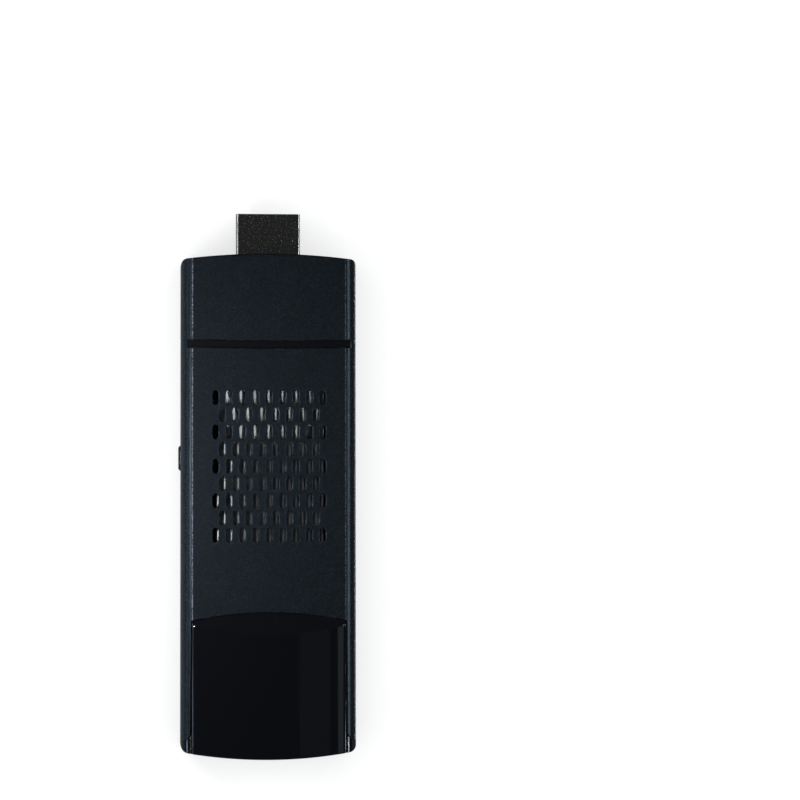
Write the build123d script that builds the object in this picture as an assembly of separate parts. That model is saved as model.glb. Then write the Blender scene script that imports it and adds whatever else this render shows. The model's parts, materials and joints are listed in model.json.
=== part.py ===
from build123d import *
import os
from math import cos, pi, sin, sqrt

os.makedirs("parts", exist_ok=True)

# Millimetres. The stick lies on its back: +Y runs to the plug, +Z to the grilled front face.
# The origin is the middle of the back face.

# Case
case_width = 38.0
case_length = 109.2
case_thickness = 11.5
wall = 1.2
shoulder_width = 2.2
shoulder_depth = 3.2
head_bow = 1.26
tail_bow = 1.5
head_corner = 1.35
tail_corner = 1.75
inner_corner = 0.3
end_rim = 0.4
seam_gap = 0.08
fit = 0.05
overrun = 1.0
peg_flats = 12

# Collar, groove and the shells' necks
collar_length = 18.6
collar_bow = 0.28
groove_width = 1.7
groove_depth = 0.6
neck_wall = 0.9
neck_reach = 3.4
neck_root = 3.0
lip_height = 0.8

# Tail cap
cap_front_strip = 3.9
cap_back_strip = 2.3
hump_length = 31.5
hump_margin = 0.1
hump_rise = 3.2
hump_edge_rise = 0.55
hump_nose_bow = 1.9
hump_facet = 4.6
hump_round = 0.45
hump_chamfer = 0.3
ledge_depth = 0.5
ledge_width = 2.0

# Grilles
slot_width = 1.35
slot_length = 3.25
slot_pitch_x = 2.9
slot_pitch_y = 3.72
slots_in_row = 9
slot_end_flats = 3
main_rows = 9
main_grille_y = 8.5
low_rows = 5
low_grille_y = -30.4

# Main board
under_board = 2.9
board_thickness = 1.0
board_side_gap = 1.2
board_head_gap = 8.4
board_tail_gap = 3.4
board_corner = 1.2
tongue_width = 11.2
tongue_length = 2.8

# Board screws and their bosses
board_screw_inset = 2.2
board_screw_back = 5.5
tail_screw_inset = 3.0
tail_screw_up = 9.1
screw_radius = 0.75
screw_head_radius = 1.5
screw_head_height = 0.8
screw_recess_radius = 0.8
screw_recess_depth = 0.4
screw_depth = 2.3
boss_radius = 2.0
hole_clearance = 0.15
post_back = 13.5
post_radius = 1.0

# HDMI plug
plug_reach = 9.0
plug_width = 13.9
plug_narrow = 10.2
plug_height = 4.45
plug_side = 2.55
plug_round = 0.5
plug_inside = 8.1
plug_sheet = 0.3
plug_clearance = 0.12
seam_width = 0.12
hook_width = 0.8
hook_flare = 0.2
hook_length = 1.5
hook_first = 1.6
hook_second = 6.7
detent_x = 2.77
detent_y = 5.0
detent_size = 1.45
detent_dish = 2.2
detent_dish_depth = 0.12
detent_round = 0.35
plug_leg = 3.0
plug_leg_height = 2.4
insulator_recess = 1.0
insulator_length = 13.3
septum_length = 4.5
plug_slot = 11.2
contact_pitch = 1.0
contact_width = 0.36
contact_sheet = 0.25
contacts_in_top = 10
contact_recess = 1.6
contact_tail = 1.9

# USB port in the tail
usb_width = 13.1
usb_height = 5.7
usb_length = 13.0
usb_sheet = 0.3
usb_setback = 0.4
usb_round = 0.6
usb_clearance = 0.15
usb_leg_width = 1.5
usb_leg_drop = 1.5
usb_leg_inset = 2.0
usb_block = 2.6
usb_tongue_width = 11.1
usb_tongue_thickness = 1.84
usb_tongue_drop = 0.7
usb_tongue_recess = 1.6
usb_contacts = 4
usb_contact_pitch = 2.3
usb_contact_width = 1.0
usb_contact_thickness = 0.12
usb_spring_width = 2.0
usb_spring_length = 5.0
usb_spring_slit = 0.4
usb_spring_x = 3.1
usb_spring_setback = 1.8

# Micro USB power inlet in the side
inlet_y = -7.0
inlet_width = 7.5
inlet_narrow = 5.6
inlet_height = 2.45
inlet_length = 5.4
inlet_sheet = 0.25
inlet_setback = 0.3
inlet_clearance = 0.15
inlet_side = 1.2
inlet_block = 1.4
inlet_tongue_width = 4.4
inlet_tongue_thickness = 0.6
inlet_tongue_recess = 0.8
inlet_contacts = 5
inlet_contact_pitch = 0.65
inlet_contact_width = 0.36
inlet_contact_thickness = 0.08

# Card socket in the side
card_gap = 0.3
card_width = 14.0
card_depth = 11.6
card_setback = 1.5
card_base = 0.45
card_height = 1.7
card_sheet = 0.2
card_slot_width = 11.6
card_slot_height = 1.3
card_rail = 1.1
card_contacts = 8
card_contact_pitch = 1.1
card_contact_width = 0.7
card_contact_length = 4.0
card_contact_thickness = 0.15
card_contact_inset = 3.2

# Power button and its switch
button_y = 10.3
button_length = 5.45
button_height = 2.2
button_proud = 0.5
button_round = 0.35
button_flange = 0.55
button_flange_thickness = 0.5
button_travel = 0.35
switch_length = 4.7
switch_depth = 2.2
switch_height = 1.65
switch_setback = 0.2
switch_wall = 0.35
plunger_length = 2.4
plunger_height = 0.8
plunger_shoulder = 0.3
plunger_shoulder_depth = 0.5
cover_sheet = 0.15
cover_tab = 0.6

# Processor, pad and heat sink
processor_y = 4.0
substrate_size = 17.0
substrate_height = 0.8
die_size = 10.0
die_height = 0.5
pad_size = 12.0
pad_thickness = 0.3
sink_left_gap = 5.3
sink_right_gap = 4.5
sink_head = 25.5
sink_tail = 13.0
sink_base = 0.9
fin_pitch = 1.41
fin_margin = 0.3
fin_thickness = 0.45
fin_head = 13.5
fin_tail = 8.5
fin_top_gap = 0.3
notch_width = 0.55
notch_start = 5.0
sink_screw_inset = 2.1
sink_screw_head_y = 15.9
sink_screw_tail_y = -10.8
sink_screw_radius = 0.7
sink_head_radius = 1.3
sink_boss_radius = 1.6

# Chips and modules
memory_gap = 0.95
memory_width = 7.5
memory_height = 1.0
memory_head_y = 21.3
memory_tail_y = -9.3
flash_inset = 1.0
flash_gap = 0.5
flash_width = 11.5
flash_length = 13.0
flash_height = 1.0
module_inset = 1.0
module_size = 12.0
module_thickness = 0.8
shield_margin = 0.4
shield_height = 1.5
shield_sheet = 0.2
antenna_inset = 2.3
antenna_up = 25.6
antenna_width = 3.6
antenna_length = 18.0
antenna_height = 4.2
antenna_sheet = 0.25
antenna_leg = 1.6
antenna_slit = 0.8
antenna_slit_length = 12.0
controller_size = 5.0
controller_height = 0.9
controller_x = -3.5
controller_up = 21.1
redriver_size = 5.0
redriver_height = 0.9
redriver_back = 6.7
led_length = 1.6
led_width = 0.8
led_height = 0.6
led_gap = 4.9

# Small parts on the board
inductor_size = 2.4
inductor_height = 1.6
inductor_corner = 0.3
crystal_length = 3.2
crystal_width = 2.5
crystal_height = 0.8
crystal_lid = 0.25
tantalum_length = 3.5
tantalum_width = 2.8
tantalum_height = 1.9
capacitor_length = 1.1
capacitor_width = 0.6
capacitor_height = 0.6

# Places of small parts, as shares of half the case's width and half its length
front_inductor_shares = [(-0.50, -0.577), (0.08, -0.565), (-0.50, -0.70)]
back_inductor_shares = [(-0.463, -0.553), (-0.61, -0.546), (-0.379, -0.61), (-0.46, -0.69)]
crystal_shares = [(-0.42, 0.56), (0.35, 0.56)]
tantalum_share = (-0.30, -0.683)
front_capacitor_shares = [
    (-0.70, 0.36), (-0.70, 0.33), (-0.70, 0.30), (-0.72, -0.05), (-0.72, -0.08),
    (-0.20, 0.66), (0.20, 0.66), (0.72, 0.10), (0.72, 0.07), (-0.10, 0.53), (0.0, 0.53), (0.10, 0.53),
]
back_capacitor_shares = [
    (-0.05, -0.46), (0.02, -0.46), (0.16, -0.50), (0.24, -0.50), (0.32, -0.58), (0.40, -0.58),
    (0.05, -0.64), (0.13, -0.64), (0.22, -0.67), (0.45, -0.67), (0.52, -0.45), (-0.20, -0.43),
    (0.60, 0.20), (0.60, 0.14), (-0.60, 0.14), (-0.60, 0.20),
]

# Levels and edges worked out from the sizes above
half_width = case_width / 2
head = case_length / 2
tail = -case_length / 2
shoulder_radius = (shoulder_width**2 + shoulder_depth**2) / (2 * shoulder_width)
shoulder_top = case_thickness - shoulder_depth
split = case_thickness / 2
board_bottom = wall + under_board
board_top = board_bottom + board_thickness
plug_middle = board_bottom + board_thickness / 2
plug_tip = head + plug_reach
plug_rear = head - plug_inside
collar_edge = head - collar_length
hump_half = half_width - shoulder_width - hump_margin
hump_nose = tail + hump_length
ledge = case_thickness - ledge_depth
cap_edge = tail + cap_front_strip
board_half = half_width - wall - board_side_gap
board_head = head - board_head_gap
board_tail = tail + board_tail_gap
board_screw_x = board_half - board_screw_inset
board_screw_y = collar_edge - board_screw_back
tail_screw_x = board_half - tail_screw_inset
tail_screw_y = tail + tail_screw_up
sink_left = board_half - sink_left_gap
sink_right = board_half - sink_right_gap
sink_screw_x = sink_left - sink_screw_inset
memory_length = 2 * (sink_screw_x - sink_boss_radius - memory_gap)
usb_rear = tail + usb_setback + usb_length
card_y = usb_rear + card_gap + card_width / 2
flash_x = board_half - flash_inset - flash_width / 2
flash_y = card_y + card_width / 2 + flash_gap + flash_length / 2
module_x = module_inset + module_size / 2 - board_half
antenna_x = antenna_inset - board_half
antenna_y = tail + antenna_up
sink_bottom = board_top + substrate_height + die_height + pad_thickness
sink_top = sink_bottom + sink_base


def block(low, high):
    """Box between two opposite corners"""
    size = [b - a for a, b in zip(low, high)]
    middle = [(a + b) / 2 for a, b in zip(low, high)]
    return Pos(*middle) * Box(*size)


def slab(low_y, high_y, low_z, high_z):
    """Everything between two lengths and two heights"""
    return block((-case_width, low_y, low_z), (case_width, high_y, high_z))


def on_board(x, y, width, length, height, back=False):
    """Block standing on the board's front face, or hanging under its back face"""
    low = board_bottom - height if back else board_top
    return block((x - width / 2, y - length / 2, low), (x + width / 2, y + length / 2, low + height))


def post(x, y, radius, low, high):
    """Round post between two heights"""
    return Pos(x, y, (low + high) / 2) * Cylinder(radius, high - low)


def peg(x, y, radius, low, high):
    """Small post between two heights, whose side is drawn in a few flats"""
    return Pos(x, y, low) * extrude(RegularPolygon(radius, peg_flats), high - low)


def arc_radius(half_chord, bow):
    """Radius of an arc from half its chord and its bow"""
    return (half_chord**2 + bow**2) / (2 * bow)


def section(inset):
    """Cross-section of the case with a round shoulder at each corner, shrunk by inset"""
    side = half_width - inset
    reach = sqrt((shoulder_radius - inset) ** 2 - (shoulder_depth - inset) ** 2)
    flat = half_width - shoulder_radius + reach
    top = case_thickness - inset
    edges = [
        Line((-flat, inset), (flat, inset)),
        TangentArc((side, shoulder_depth), (flat, inset), tangent=(0, -1)),
        Line((side, shoulder_depth), (side, shoulder_top)),
        TangentArc((side, shoulder_top), (flat, top), tangent=(0, 1)),
        Line((flat, top), (-flat, top)),
        TangentArc((-side, shoulder_top), (-flat, top), tangent=(0, 1)),
        Line((-side, shoulder_top), (-side, shoulder_depth)),
        TangentArc((-side, shoulder_depth), (-flat, inset), tangent=(0, -1)),
    ]
    return Plane.XZ * make_face(edges)


def plan(inset):
    """Outline of the case from above with bowed ends, shrunk by inset"""
    side = half_width - inset
    high = head - inset
    low = tail + inset
    outline = [
        Line((side, low + tail_bow), (side, high - head_bow)),
        ThreePointArc((side, high - head_bow), (0, high), (-side, high - head_bow)),
        Line((-side, high - head_bow), (-side, low + tail_bow)),
        ThreePointArc((-side, low + tail_bow), (0, low), (side, low + tail_bow)),
    ]
    face = make_face(outline)
    corners = face.vertices().sort_by(Axis.Y)
    face = fillet(corners[2:], max(head_corner - inset, inner_corner))
    corners = face.vertices().sort_by(Axis.Y)
    return fillet(corners[:2], max(tail_corner - inset, inner_corner))


def case_form(inset):
    """Whole case as one solid, shrunk by inset"""
    tube = extrude(section(inset), case_length, both=True)
    return tube & extrude(plan(inset), case_thickness)


def rounded_case():
    """Case with the rims of both ends eased"""
    tube = extrude(section(0), case_length, both=True)
    prism = extrude(plan(0), case_thickness)
    rims = prism.edges().filter_by(Axis.Z, reverse=True)
    return tube & fillet(rims, end_rim)


def ring(outer, inner, low_y, high_y):
    """Tube that follows the case's section between two insets"""
    wide = extrude(section(outer), case_length, both=True)
    narrow = extrude(section(inner), case_length, both=True)
    return (wide - narrow) & slab(low_y, high_y, 0, case_thickness)


def collar_space(shift):
    """Everything on the plug's side of the collar's bowed edge"""
    edge = collar_edge - shift
    far = head + overrun
    outline = [
        ThreePointArc((-half_width, edge), (0, edge - collar_bow), (half_width, edge)),
        Polyline((half_width, edge), (case_width, edge), (case_width, far)),
        Line((case_width, far), (-case_width, far)),
        Polyline((-case_width, far), (-case_width, edge), (-half_width, edge)),
    ]
    return extrude(make_face(outline), case_thickness)


def skirt(gap):
    """Everything on the tail's side of the cap's seam, which slants down the side walls"""
    front = cap_edge + gap
    back = tail + cap_back_strip + gap
    far = tail - overrun
    top = case_thickness + hump_rise + overrun
    outline = Polyline(
        (far, -overrun), (back, -overrun), (back, 0), (front, shoulder_top), (front, top), (far, top),
        close=True
    )
    return extrude(Plane.YZ * make_face(outline), case_width, both=True)


def flare(gap):
    """Quarter-round spread of the cap over each shoulder"""
    radius = half_width - hump_half
    front = cap_edge + radius
    low = shoulder_top - gap
    high = case_thickness + overrun
    spread = block((hump_half - fit, cap_edge - overrun, low), (half_width + overrun, front, high))
    spread -= post(half_width, front, radius - gap, low - overrun, high + overrun)
    return spread + mirror(spread, Plane.YZ)


def crown_section(inset, floor, grow, ease):
    """Cross-section of the hump: straight sides under a low crown, eased where they meet"""
    half = hump_half - inset + grow
    radius = arc_radius(hump_half, hump_rise - hump_edge_rise)
    axis = case_thickness + hump_rise - radius
    radius += grow - inset
    edge = axis + sqrt(radius**2 - half**2)
    outline = [
        Polyline((half, edge), (half, floor), (-half, floor), (-half, edge)),
        ThreePointArc((-half, edge), (0, axis + radius), (half, edge)),
    ]
    face = make_face(outline)
    if ease:
        face = fillet(face.vertices().sort_by(Axis.Y)[2:], ease)
    return Plane.XZ * face


def hump(inset, floor, grow=0, ease=0):
    """Raised part of the cap: low crown, tapered nose facet and the case's own tail"""
    nose = arc_radius(hump_half, hump_nose_bow)
    nose_axis = hump_nose - nose
    lean = hump_facet / hump_rise
    low_radius = nose - inset * sqrt(1 + lean**2) + grow
    high_radius = low_radius - (hump_rise + overrun) * lean
    top = case_thickness + hump_rise + overrun
    taper = Cone(low_radius, high_radius, hump_rise + overrun, align=(Align.CENTER, Align.CENTER, Align.MIN))
    nose_form = Pos(0, nose_axis, case_thickness) * taper
    nose_form += post(0, nose_axis, low_radius, floor, case_thickness)
    body = extrude(crown_section(inset, floor, grow, ease), case_length, both=True) & nose_form
    return body & extrude(Pos(0, 0, floor) * plan(inset), top - floor)


def rounded_hump():
    """Hump with its crown eased into its sides and chamfered at the tail"""
    form = hump(0, ledge, ease=hump_round)
    lowest = case_thickness + hump_edge_rise - hump_round
    rims = form.edges().filter_by(lambda edge: edge.center().Z > lowest)
    rims = rims.filter_by(lambda edge: edge.center().Y < cap_edge)
    return chamfer(rims, hump_chamfer)


def slot():
    """Grille slot whose round ends are drawn in a few equal flats"""
    radius = slot_width / 2
    reach = slot_length / 2 - radius
    points = []
    for side in (1, -1):
        for step in range(slot_end_flats + 1):
            angle = pi * step / slot_end_flats
            points.append((side * radius * cos(angle), side * (reach + radius * sin(angle))))
    return make_face(Polyline(*points, close=True))


def grille(rows, middle, low):
    """Staggered slots that go through one face"""
    cutter = extrude(slot(), wall + 2 * overrun)
    cuts = []
    for row in range(rows):
        count = slots_in_row - row % 2
        y = middle + (row - (rows - 1) / 2) * slot_pitch_y
        for place in range(count):
            x = (place - (count - 1) / 2) * slot_pitch_x
            cuts.append(Pos(x, y, low) * cutter)
    return cuts


def rounded_bar(width, height, radius, length):
    """Bar with four rounded long edges, drawn along Z from the origin"""
    return extrude(RectangleRounded(width, height, radius), length)


def side_bar(y, z, length, height, radius, start, end):
    """Rounded bar that runs along X through a side wall"""
    face = Plane.YZ.offset(start) * Pos(y, z) * RectangleRounded(length, height, radius)
    return extrude(face, end - start)


def plug_section(shrink):
    """Cross-section of the plug, wide towards the front, drawn around its own middle"""
    half = plug_width / 2 - shrink
    narrow = plug_narrow / 2 - shrink
    high = plug_height / 2 - shrink
    knee = plug_height / 2 - plug_side
    outline = Polyline((-half, high), (half, high), (half, knee), (narrow, -high), (-narrow, -high),
                       (-half, knee), close=True)
    face = make_face(outline)
    return Plane.XZ * Pos(0, plug_middle) * fillet(face.vertices(), max(plug_round - shrink, plug_sheet / 2))


def along_y(face, low, high):
    """Face drawn upright across the stick, stretched from one length to another"""
    return Pos(0, high, 0) * extrude(face, high - low)


def inlet_section(shrink):
    """Cross-section of the power inlet, wide side up, drawn around its own middle"""
    half = inlet_width / 2 - shrink
    narrow = inlet_narrow / 2 - shrink
    high = inlet_height / 2 - shrink
    knee = inlet_height / 2 - inlet_side
    middle = board_top + inlet_height / 2
    outline = Polyline((-half, high), (half, high), (half, knee), (narrow, -high), (-narrow, -high),
                       (-half, knee), close=True)
    return Pos(inlet_y, middle) * make_face(outline)


def along_x(face, low, high):
    """Face drawn in Y and Z, stretched from one width to another"""
    return extrude(Plane.YZ.offset(low) * face, high - low)


def liner(inset, zone):
    """Sleeve inside the case, between an inset form and the neck's own bore"""
    bore = extrude(section(wall + neck_wall), case_length, both=True)
    return (case_form(inset) - bore) & zone


def case_walls():
    """Both shells as one hollow body, with necks for the collar and the cap"""
    head_zone = slab(collar_edge - neck_root, collar_edge + neck_reach, 0, case_thickness)
    tail_zone = slab(tail + wall + seam_gap, cap_edge + neck_root, 0, case_thickness)
    faces = slab(tail, head, case_thickness - groove_depth, case_thickness)
    faces += slab(tail, head, 0, groove_depth)
    body = rounded_case() - case_form(wall)
    body -= collar_space(groove_width) & faces
    body -= collar_space(seam_gap)
    body -= skirt(seam_gap)
    body -= flare(seam_gap)
    body += liner(wall, head_zone) - collar_space(seam_gap)
    body += liner(wall + fit, head_zone)
    body += liner(wall, tail_zone) - skirt(seam_gap) - flare(seam_gap)
    body += liner(wall + fit, tail_zone)
    return body


def side_openings():
    """Mouths in the side walls: power button, power inlet and card slot"""
    button_z = switch_middle()
    button = side_bar(button_y, button_z, button_length + 2 * fit, button_height + 2 * fit,
                      button_height / 2, -half_width - overrun, -half_width + 2 * wall)
    inlet = along_x(inlet_section(-inlet_clearance), half_width - 2 * wall, half_width + overrun)
    card_z = board_top + card_base + card_slot_height / 2
    card = side_bar(card_y, card_z, card_slot_width, card_slot_height,
                    card_slot_height / 3, half_width - 2 * wall, half_width + overrun)
    return [button, inlet, card]


def switch_middle():
    """Height of the switch's plunger and of the button that presses it"""
    return board_top + switch_height / 2


def lip(outer, high):
    """Band along the split that lines up the two shells"""
    zone = slab(cap_edge + neck_root, collar_edge - neck_root, split, split + high)
    return ring(outer, wall, tail, head) & zone


def front_shell(body):
    """Front half: grille over the heat sink, ledge under the cap and two posts onto the board"""
    shell = body & slab(tail - overrun, head, split, case_thickness)
    shell -= lip(wall / 2, lip_height + fit)
    shell -= hump(0, ledge, grow=seam_gap)
    shell -= hump(ledge_width, split)
    half = hump_half - ledge_width
    shell -= block((-half, tail, split), (half, cap_edge + neck_root, case_thickness))
    shell -= grille(main_rows, main_grille_y, case_thickness - wall - overrun)
    for side in (-1, 1):
        shell += peg(side * board_screw_x, collar_edge - post_back, post_radius, board_top + fit,
                     case_thickness - wall)
    return shell - side_openings()


def back_shell(body):
    """Back half: two grilles, the locating lip and the bosses that carry the board"""
    shell = body & slab(tail - overrun, head, 0, split)
    shell += lip(wall / 2 + fit, lip_height)
    shell -= grille(main_rows, main_grille_y, -overrun)
    shell -= grille(low_rows, low_grille_y, -overrun)
    for x, y in board_screw_places():
        shell += peg(x, y, boss_radius, wall / 2, board_bottom)
        shell -= peg(x, y, screw_recess_radius, board_bottom - screw_depth - screw_recess_depth, board_top)
    return shell - side_openings()


def connector_collar():
    """Sleeve at the plug's end, whose end wall lets the plug through"""
    collar = rounded_case() & collar_space(0)
    collar -= case_form(wall)
    return collar - along_y(plug_section(-plug_clearance), head - 2 * wall, head + overrun)


def tail_cap():
    """Glossy cap: crowned hump over the front face and a skirt around the tail"""
    cap = rounded_case() & (skirt(0) + flare(0))
    cap += rounded_hump()
    cap -= case_form(wall)
    cap -= hump(wall, split)
    grow = 2 * usb_clearance
    mouth = rounded_bar(usb_width + grow, usb_height + grow, usb_round + usb_clearance, 3 * wall)
    return cap - Pos(0, tail + 2 * wall, usb_middle()) * Rot(90, 0, 0) * mouth


def board_screw_places():
    """Where the four screws hold the board"""
    places = [(side * board_screw_x, board_screw_y) for side in (-1, 1)]
    return places + [(side * tail_screw_x, tail_screw_y) for side in (-1, 1)]


def sink_screw_places():
    """Where the four screws hold the heat sink"""
    return [(side * sink_screw_x, y) for side in (-1, 1) for y in (sink_screw_head_y, sink_screw_tail_y)]


def board_screws():
    """Pan-headed screws through the board into the back shell's bosses"""
    screws = []
    for x, y in board_screw_places():
        shank = peg(x, y, screw_radius, board_bottom - screw_depth, board_top)
        head_form = peg(x, y, screw_head_radius, board_top, board_top + screw_head_height)
        screws.append(shank + head_form)
    return screws


def sink_screws():
    """Small screws through the heat sink's feet into the board"""
    screws = []
    for x, y in sink_screw_places():
        shank = peg(x, y, sink_screw_radius, board_bottom, sink_top)
        head_form = peg(x, y, sink_head_radius, sink_top, sink_top + screw_head_height)
        screws.append(shank + head_form)
    return screws


def main_board():
    """Board with its tongue between the plug's contact rows"""
    board = block((-board_half, board_tail, board_bottom), (board_half, board_head, board_top))
    board = fillet(board.edges().filter_by(Axis.Z), board_corner)
    end = board_head + tongue_length
    board += block((-tongue_width / 2, board_head - board_corner, board_bottom),
                   (tongue_width / 2, end, board_top))
    for x, y in board_screw_places():
        board -= peg(x, y, screw_radius + hole_clearance, board_bottom - overrun, board_top + overrun)
    for x, y in sink_screw_places():
        board -= peg(x, y, sink_screw_radius + fit, board_bottom - overrun, board_top + overrun)
    for leg in plug_legs(fit) + usb_legs(fit):
        board -= leg
    return board


def plug_legs(grow):
    """Two side legs of the plug's shell that straddle the board"""
    outer = plug_width / 2
    inner = outer - plug_sheet
    middle = plug_middle
    legs = []
    for side in (-1, 1):
        edges = sorted((side * (inner - grow), side * (outer + grow)))
        low = (edges[0], plug_rear - plug_leg - grow, middle - plug_leg_height / 2 - grow)
        legs.append(block(low, (edges[1], plug_rear + plug_sheet, middle + plug_leg_height / 2 + grow)))
    return legs


def hook_path():
    """Centre line of the folded shell's seam, with its two interlocking hooks"""
    points = [(0, plug_tip + overrun)]
    for side, start in ((1, hook_first), (-1, hook_second)):
        high = plug_tip - start
        low = high - hook_length
        out = side * hook_width
        points += [(0, high), (out, high + hook_flare), (out, low - hook_flare), (0, low)]
    points.append((0, plug_rear - overrun))
    return Polyline(*points)


def hdmi_plug_shell():
    """Folded metal shell of the plug with its jigsaw seam and two detent holes on the back"""
    shell = along_y(plug_section(0) - plug_section(plug_sheet), plug_rear, plug_tip)
    bottom = plug_middle - plug_height / 2
    seam = trace(hook_path(), seam_width)
    shell -= extrude(Pos(0, 0, bottom - overrun) * seam, overrun + plug_sheet + fit)
    for side in (-1, 1):
        place = Pos(side * detent_x, plug_tip - detent_y, bottom - overrun)
        hole = RectangleRounded(detent_size, detent_size, detent_round)
        shell -= place * extrude(hole, overrun + plug_sheet + fit)
        dish = RectangleRounded(detent_dish, detent_dish, 2 * detent_round)
        shell -= place * extrude(dish, overrun + detent_dish_depth)
    for leg in plug_legs(0):
        shell += leg
    return shell


def plug_cavity(grow):
    """Block-shaped mouth between the plug's two contact rows"""
    half = board_thickness / 2 + contact_sheet + grow
    end = plug_tip - insulator_recess
    start = end - insulator_length + septum_length
    low = (-plug_slot / 2, start, plug_middle - half)
    return block(low, (plug_slot / 2, end + overrun, plug_middle + half))


def contact_places():
    """Middle of each contact across the plug, and 1 for the front row or -1 for the back one"""
    places = []
    for row, count in ((1, contacts_in_top), (-1, contacts_in_top - 1)):
        places += [((place - (count - 1) / 2) * contact_pitch, row) for place in range(count)]
    return places


def hdmi_contacts():
    """Contact strips that reach from the board's tongue to the plug's mouth"""
    strips = []
    low_y = board_head + tongue_length - contact_tail
    high_y = plug_tip - contact_recess
    for x, row in contact_places():
        inner = plug_middle + row * board_thickness / 2
        levels = sorted((inner, inner + row * contact_sheet))
        low = (x - contact_width / 2, low_y, levels[0])
        strips.append(block(low, (x + contact_width / 2, high_y, levels[1])))
    return strips


def hdmi_insulator(contacts):
    """Moulded block in the plug, open at the mouth and holding both contact rows behind it"""
    end = plug_tip - insulator_recess
    form = along_y(plug_section(plug_sheet + fit), end - insulator_length, end)
    return form - plug_cavity(0) - contacts


def usb_middle():
    """Height of the USB port's middle"""
    return board_top + usb_height / 2


def usb_legs(grow):
    """Legs of the USB shell that pass down through the board"""
    rows = (usb_leg_inset, usb_length - usb_leg_inset - usb_leg_width)
    outer = usb_width / 2
    legs = []
    for side in (-1, 1):
        for row in rows:
            start = tail + usb_setback + row
            edges = sorted((side * (outer - usb_sheet - grow), side * (outer + grow)))
            low = (edges[0], start - grow, board_top - usb_leg_drop - grow)
            legs.append(block(low, (edges[1], start + usb_leg_width + grow, board_top + usb_round)))
    return legs


def usb_shell():
    """Folded shell of the USB port with spring tongues, standing on its legs"""
    outer = rounded_bar(usb_width, usb_height, usb_round, usb_length)
    inner = rounded_bar(usb_width - 2 * usb_sheet, usb_height - 2 * usb_sheet, usb_round - usb_sheet,
                        usb_length)
    rear = usb_rear
    shell = Pos(0, rear, usb_middle()) * Rot(90, 0, 0) * (outer - inner)
    start = tail + usb_setback + usb_spring_setback
    low, high = usb_middle() - usb_height, usb_middle() + usb_height
    for side in (-1, 1):
        x = side * usb_spring_x
        half = usb_spring_width / 2
        window = block((x - half, start, low), (x + half, start + usb_spring_length, high))
        edge = half - usb_spring_slit
        leaf = block((x - edge, start + usb_spring_slit, low), (x + edge, start + usb_spring_length, high))
        shell -= window - leaf
    for leg in usb_legs(0):
        shell += leg
    return shell


def usb_strips():
    """Contact strips under the USB tongue, each turned down to the board behind it"""
    rear = usb_rear
    top = board_top + usb_height - usb_sheet - usb_tongue_drop - usb_tongue_thickness
    front = tail + usb_setback + usb_tongue_recess + usb_contact_width
    strips = []
    for place in range(usb_contacts):
        x = (place - (usb_contacts - 1) / 2) * usb_contact_pitch
        half = usb_contact_width / 2
        low = (x - half, front, top - usb_contact_thickness)
        strip = block(low, (x + half, rear + usb_contact_thickness, top))
        drop = block((x - half, rear, board_top), (x + half, rear + usb_contact_thickness, top))
        strips.append(strip + drop)
    return strips


def usb_tongue(strips):
    """Moulded block and tongue of the USB port"""
    inner_width = usb_width - 2 * (usb_sheet + fit)
    inner_height = usb_height - 2 * (usb_sheet + fit)
    rear = usb_rear
    body = rounded_bar(inner_width, inner_height, usb_round - usb_sheet, usb_block)
    form = Pos(0, rear, usb_middle()) * Rot(90, 0, 0) * body
    top = board_top + usb_height - usb_sheet - usb_tongue_drop
    half = usb_tongue_width / 2
    low = (-half, tail + usb_setback + usb_tongue_recess, top - usb_tongue_thickness)
    form += block(low, (half, rear - usb_block / 2, top))
    return form - strips


def inlet_ends():
    """Mouth and rear of the power inlet along X"""
    mouth = half_width - inlet_setback
    return mouth - inlet_length, mouth


def micro_usb_shell():
    """Folded shell of the power inlet"""
    rear, mouth = inlet_ends()
    return along_x(inlet_section(0) - inlet_section(inlet_sheet), rear, mouth)


def inlet_strips():
    """Contact strips on the power inlet's tongue"""
    rear, mouth = inlet_ends()
    middle = board_top + inlet_height / 2
    strips = []
    for place in range(inlet_contacts):
        y = inlet_y + (place - (inlet_contacts - 1) / 2) * inlet_contact_pitch
        half = inlet_contact_width / 2
        low = (rear - inlet_contact_width, y - half,
               middle - inlet_tongue_thickness / 2 - inlet_contact_thickness)
        end = mouth - inlet_tongue_recess - inlet_contact_width
        strips.append(block(low, (end, y + half, middle - inlet_tongue_thickness / 2)))
    return strips


def micro_usb_tongue(strips):
    """Moulded block and tongue of the power inlet"""
    rear, mouth = inlet_ends()
    middle = board_top + inlet_height / 2
    form = along_x(inlet_section(inlet_sheet + fit), rear, rear + inlet_block)
    half = inlet_tongue_width / 2
    low = (rear + inlet_block / 2, inlet_y - half, middle - inlet_tongue_thickness / 2)
    form += block(low, (mouth - inlet_tongue_recess, inlet_y + half, middle + inlet_tongue_thickness / 2))
    return form - strips


def card_ends():
    """Rear and mouth of the card socket along X"""
    mouth = half_width - card_setback
    return mouth - card_depth, mouth


def card_strips():
    """Contact strips that rise from the card socket's floor"""
    rear, mouth = card_ends()
    low_z = board_top + card_base
    strips = []
    for place in range(card_contacts):
        y = card_y + (place - (card_contacts - 1) / 2) * card_contact_pitch
        half = card_contact_width / 2
        start = rear + card_contact_inset
        low = (start, y - half, low_z)
        strips.append(block(low, (start + card_contact_length, y + half, low_z + card_contact_thickness)))
    return strips


def card_socket_base():
    """Moulded floor, rear stop and side rails of the card socket"""
    rear, mouth = card_ends()
    half = card_width / 2 - card_sheet - fit
    high = board_top + card_height - card_sheet - fit
    base = block((rear + card_sheet, card_y - half, board_top), (mouth, card_y + half, high))
    inner = half - card_rail
    low = (rear + card_sheet + card_rail, card_y - inner, board_top + card_base)
    return base - block(low, (mouth + overrun, card_y + inner, high + overrun))


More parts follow.
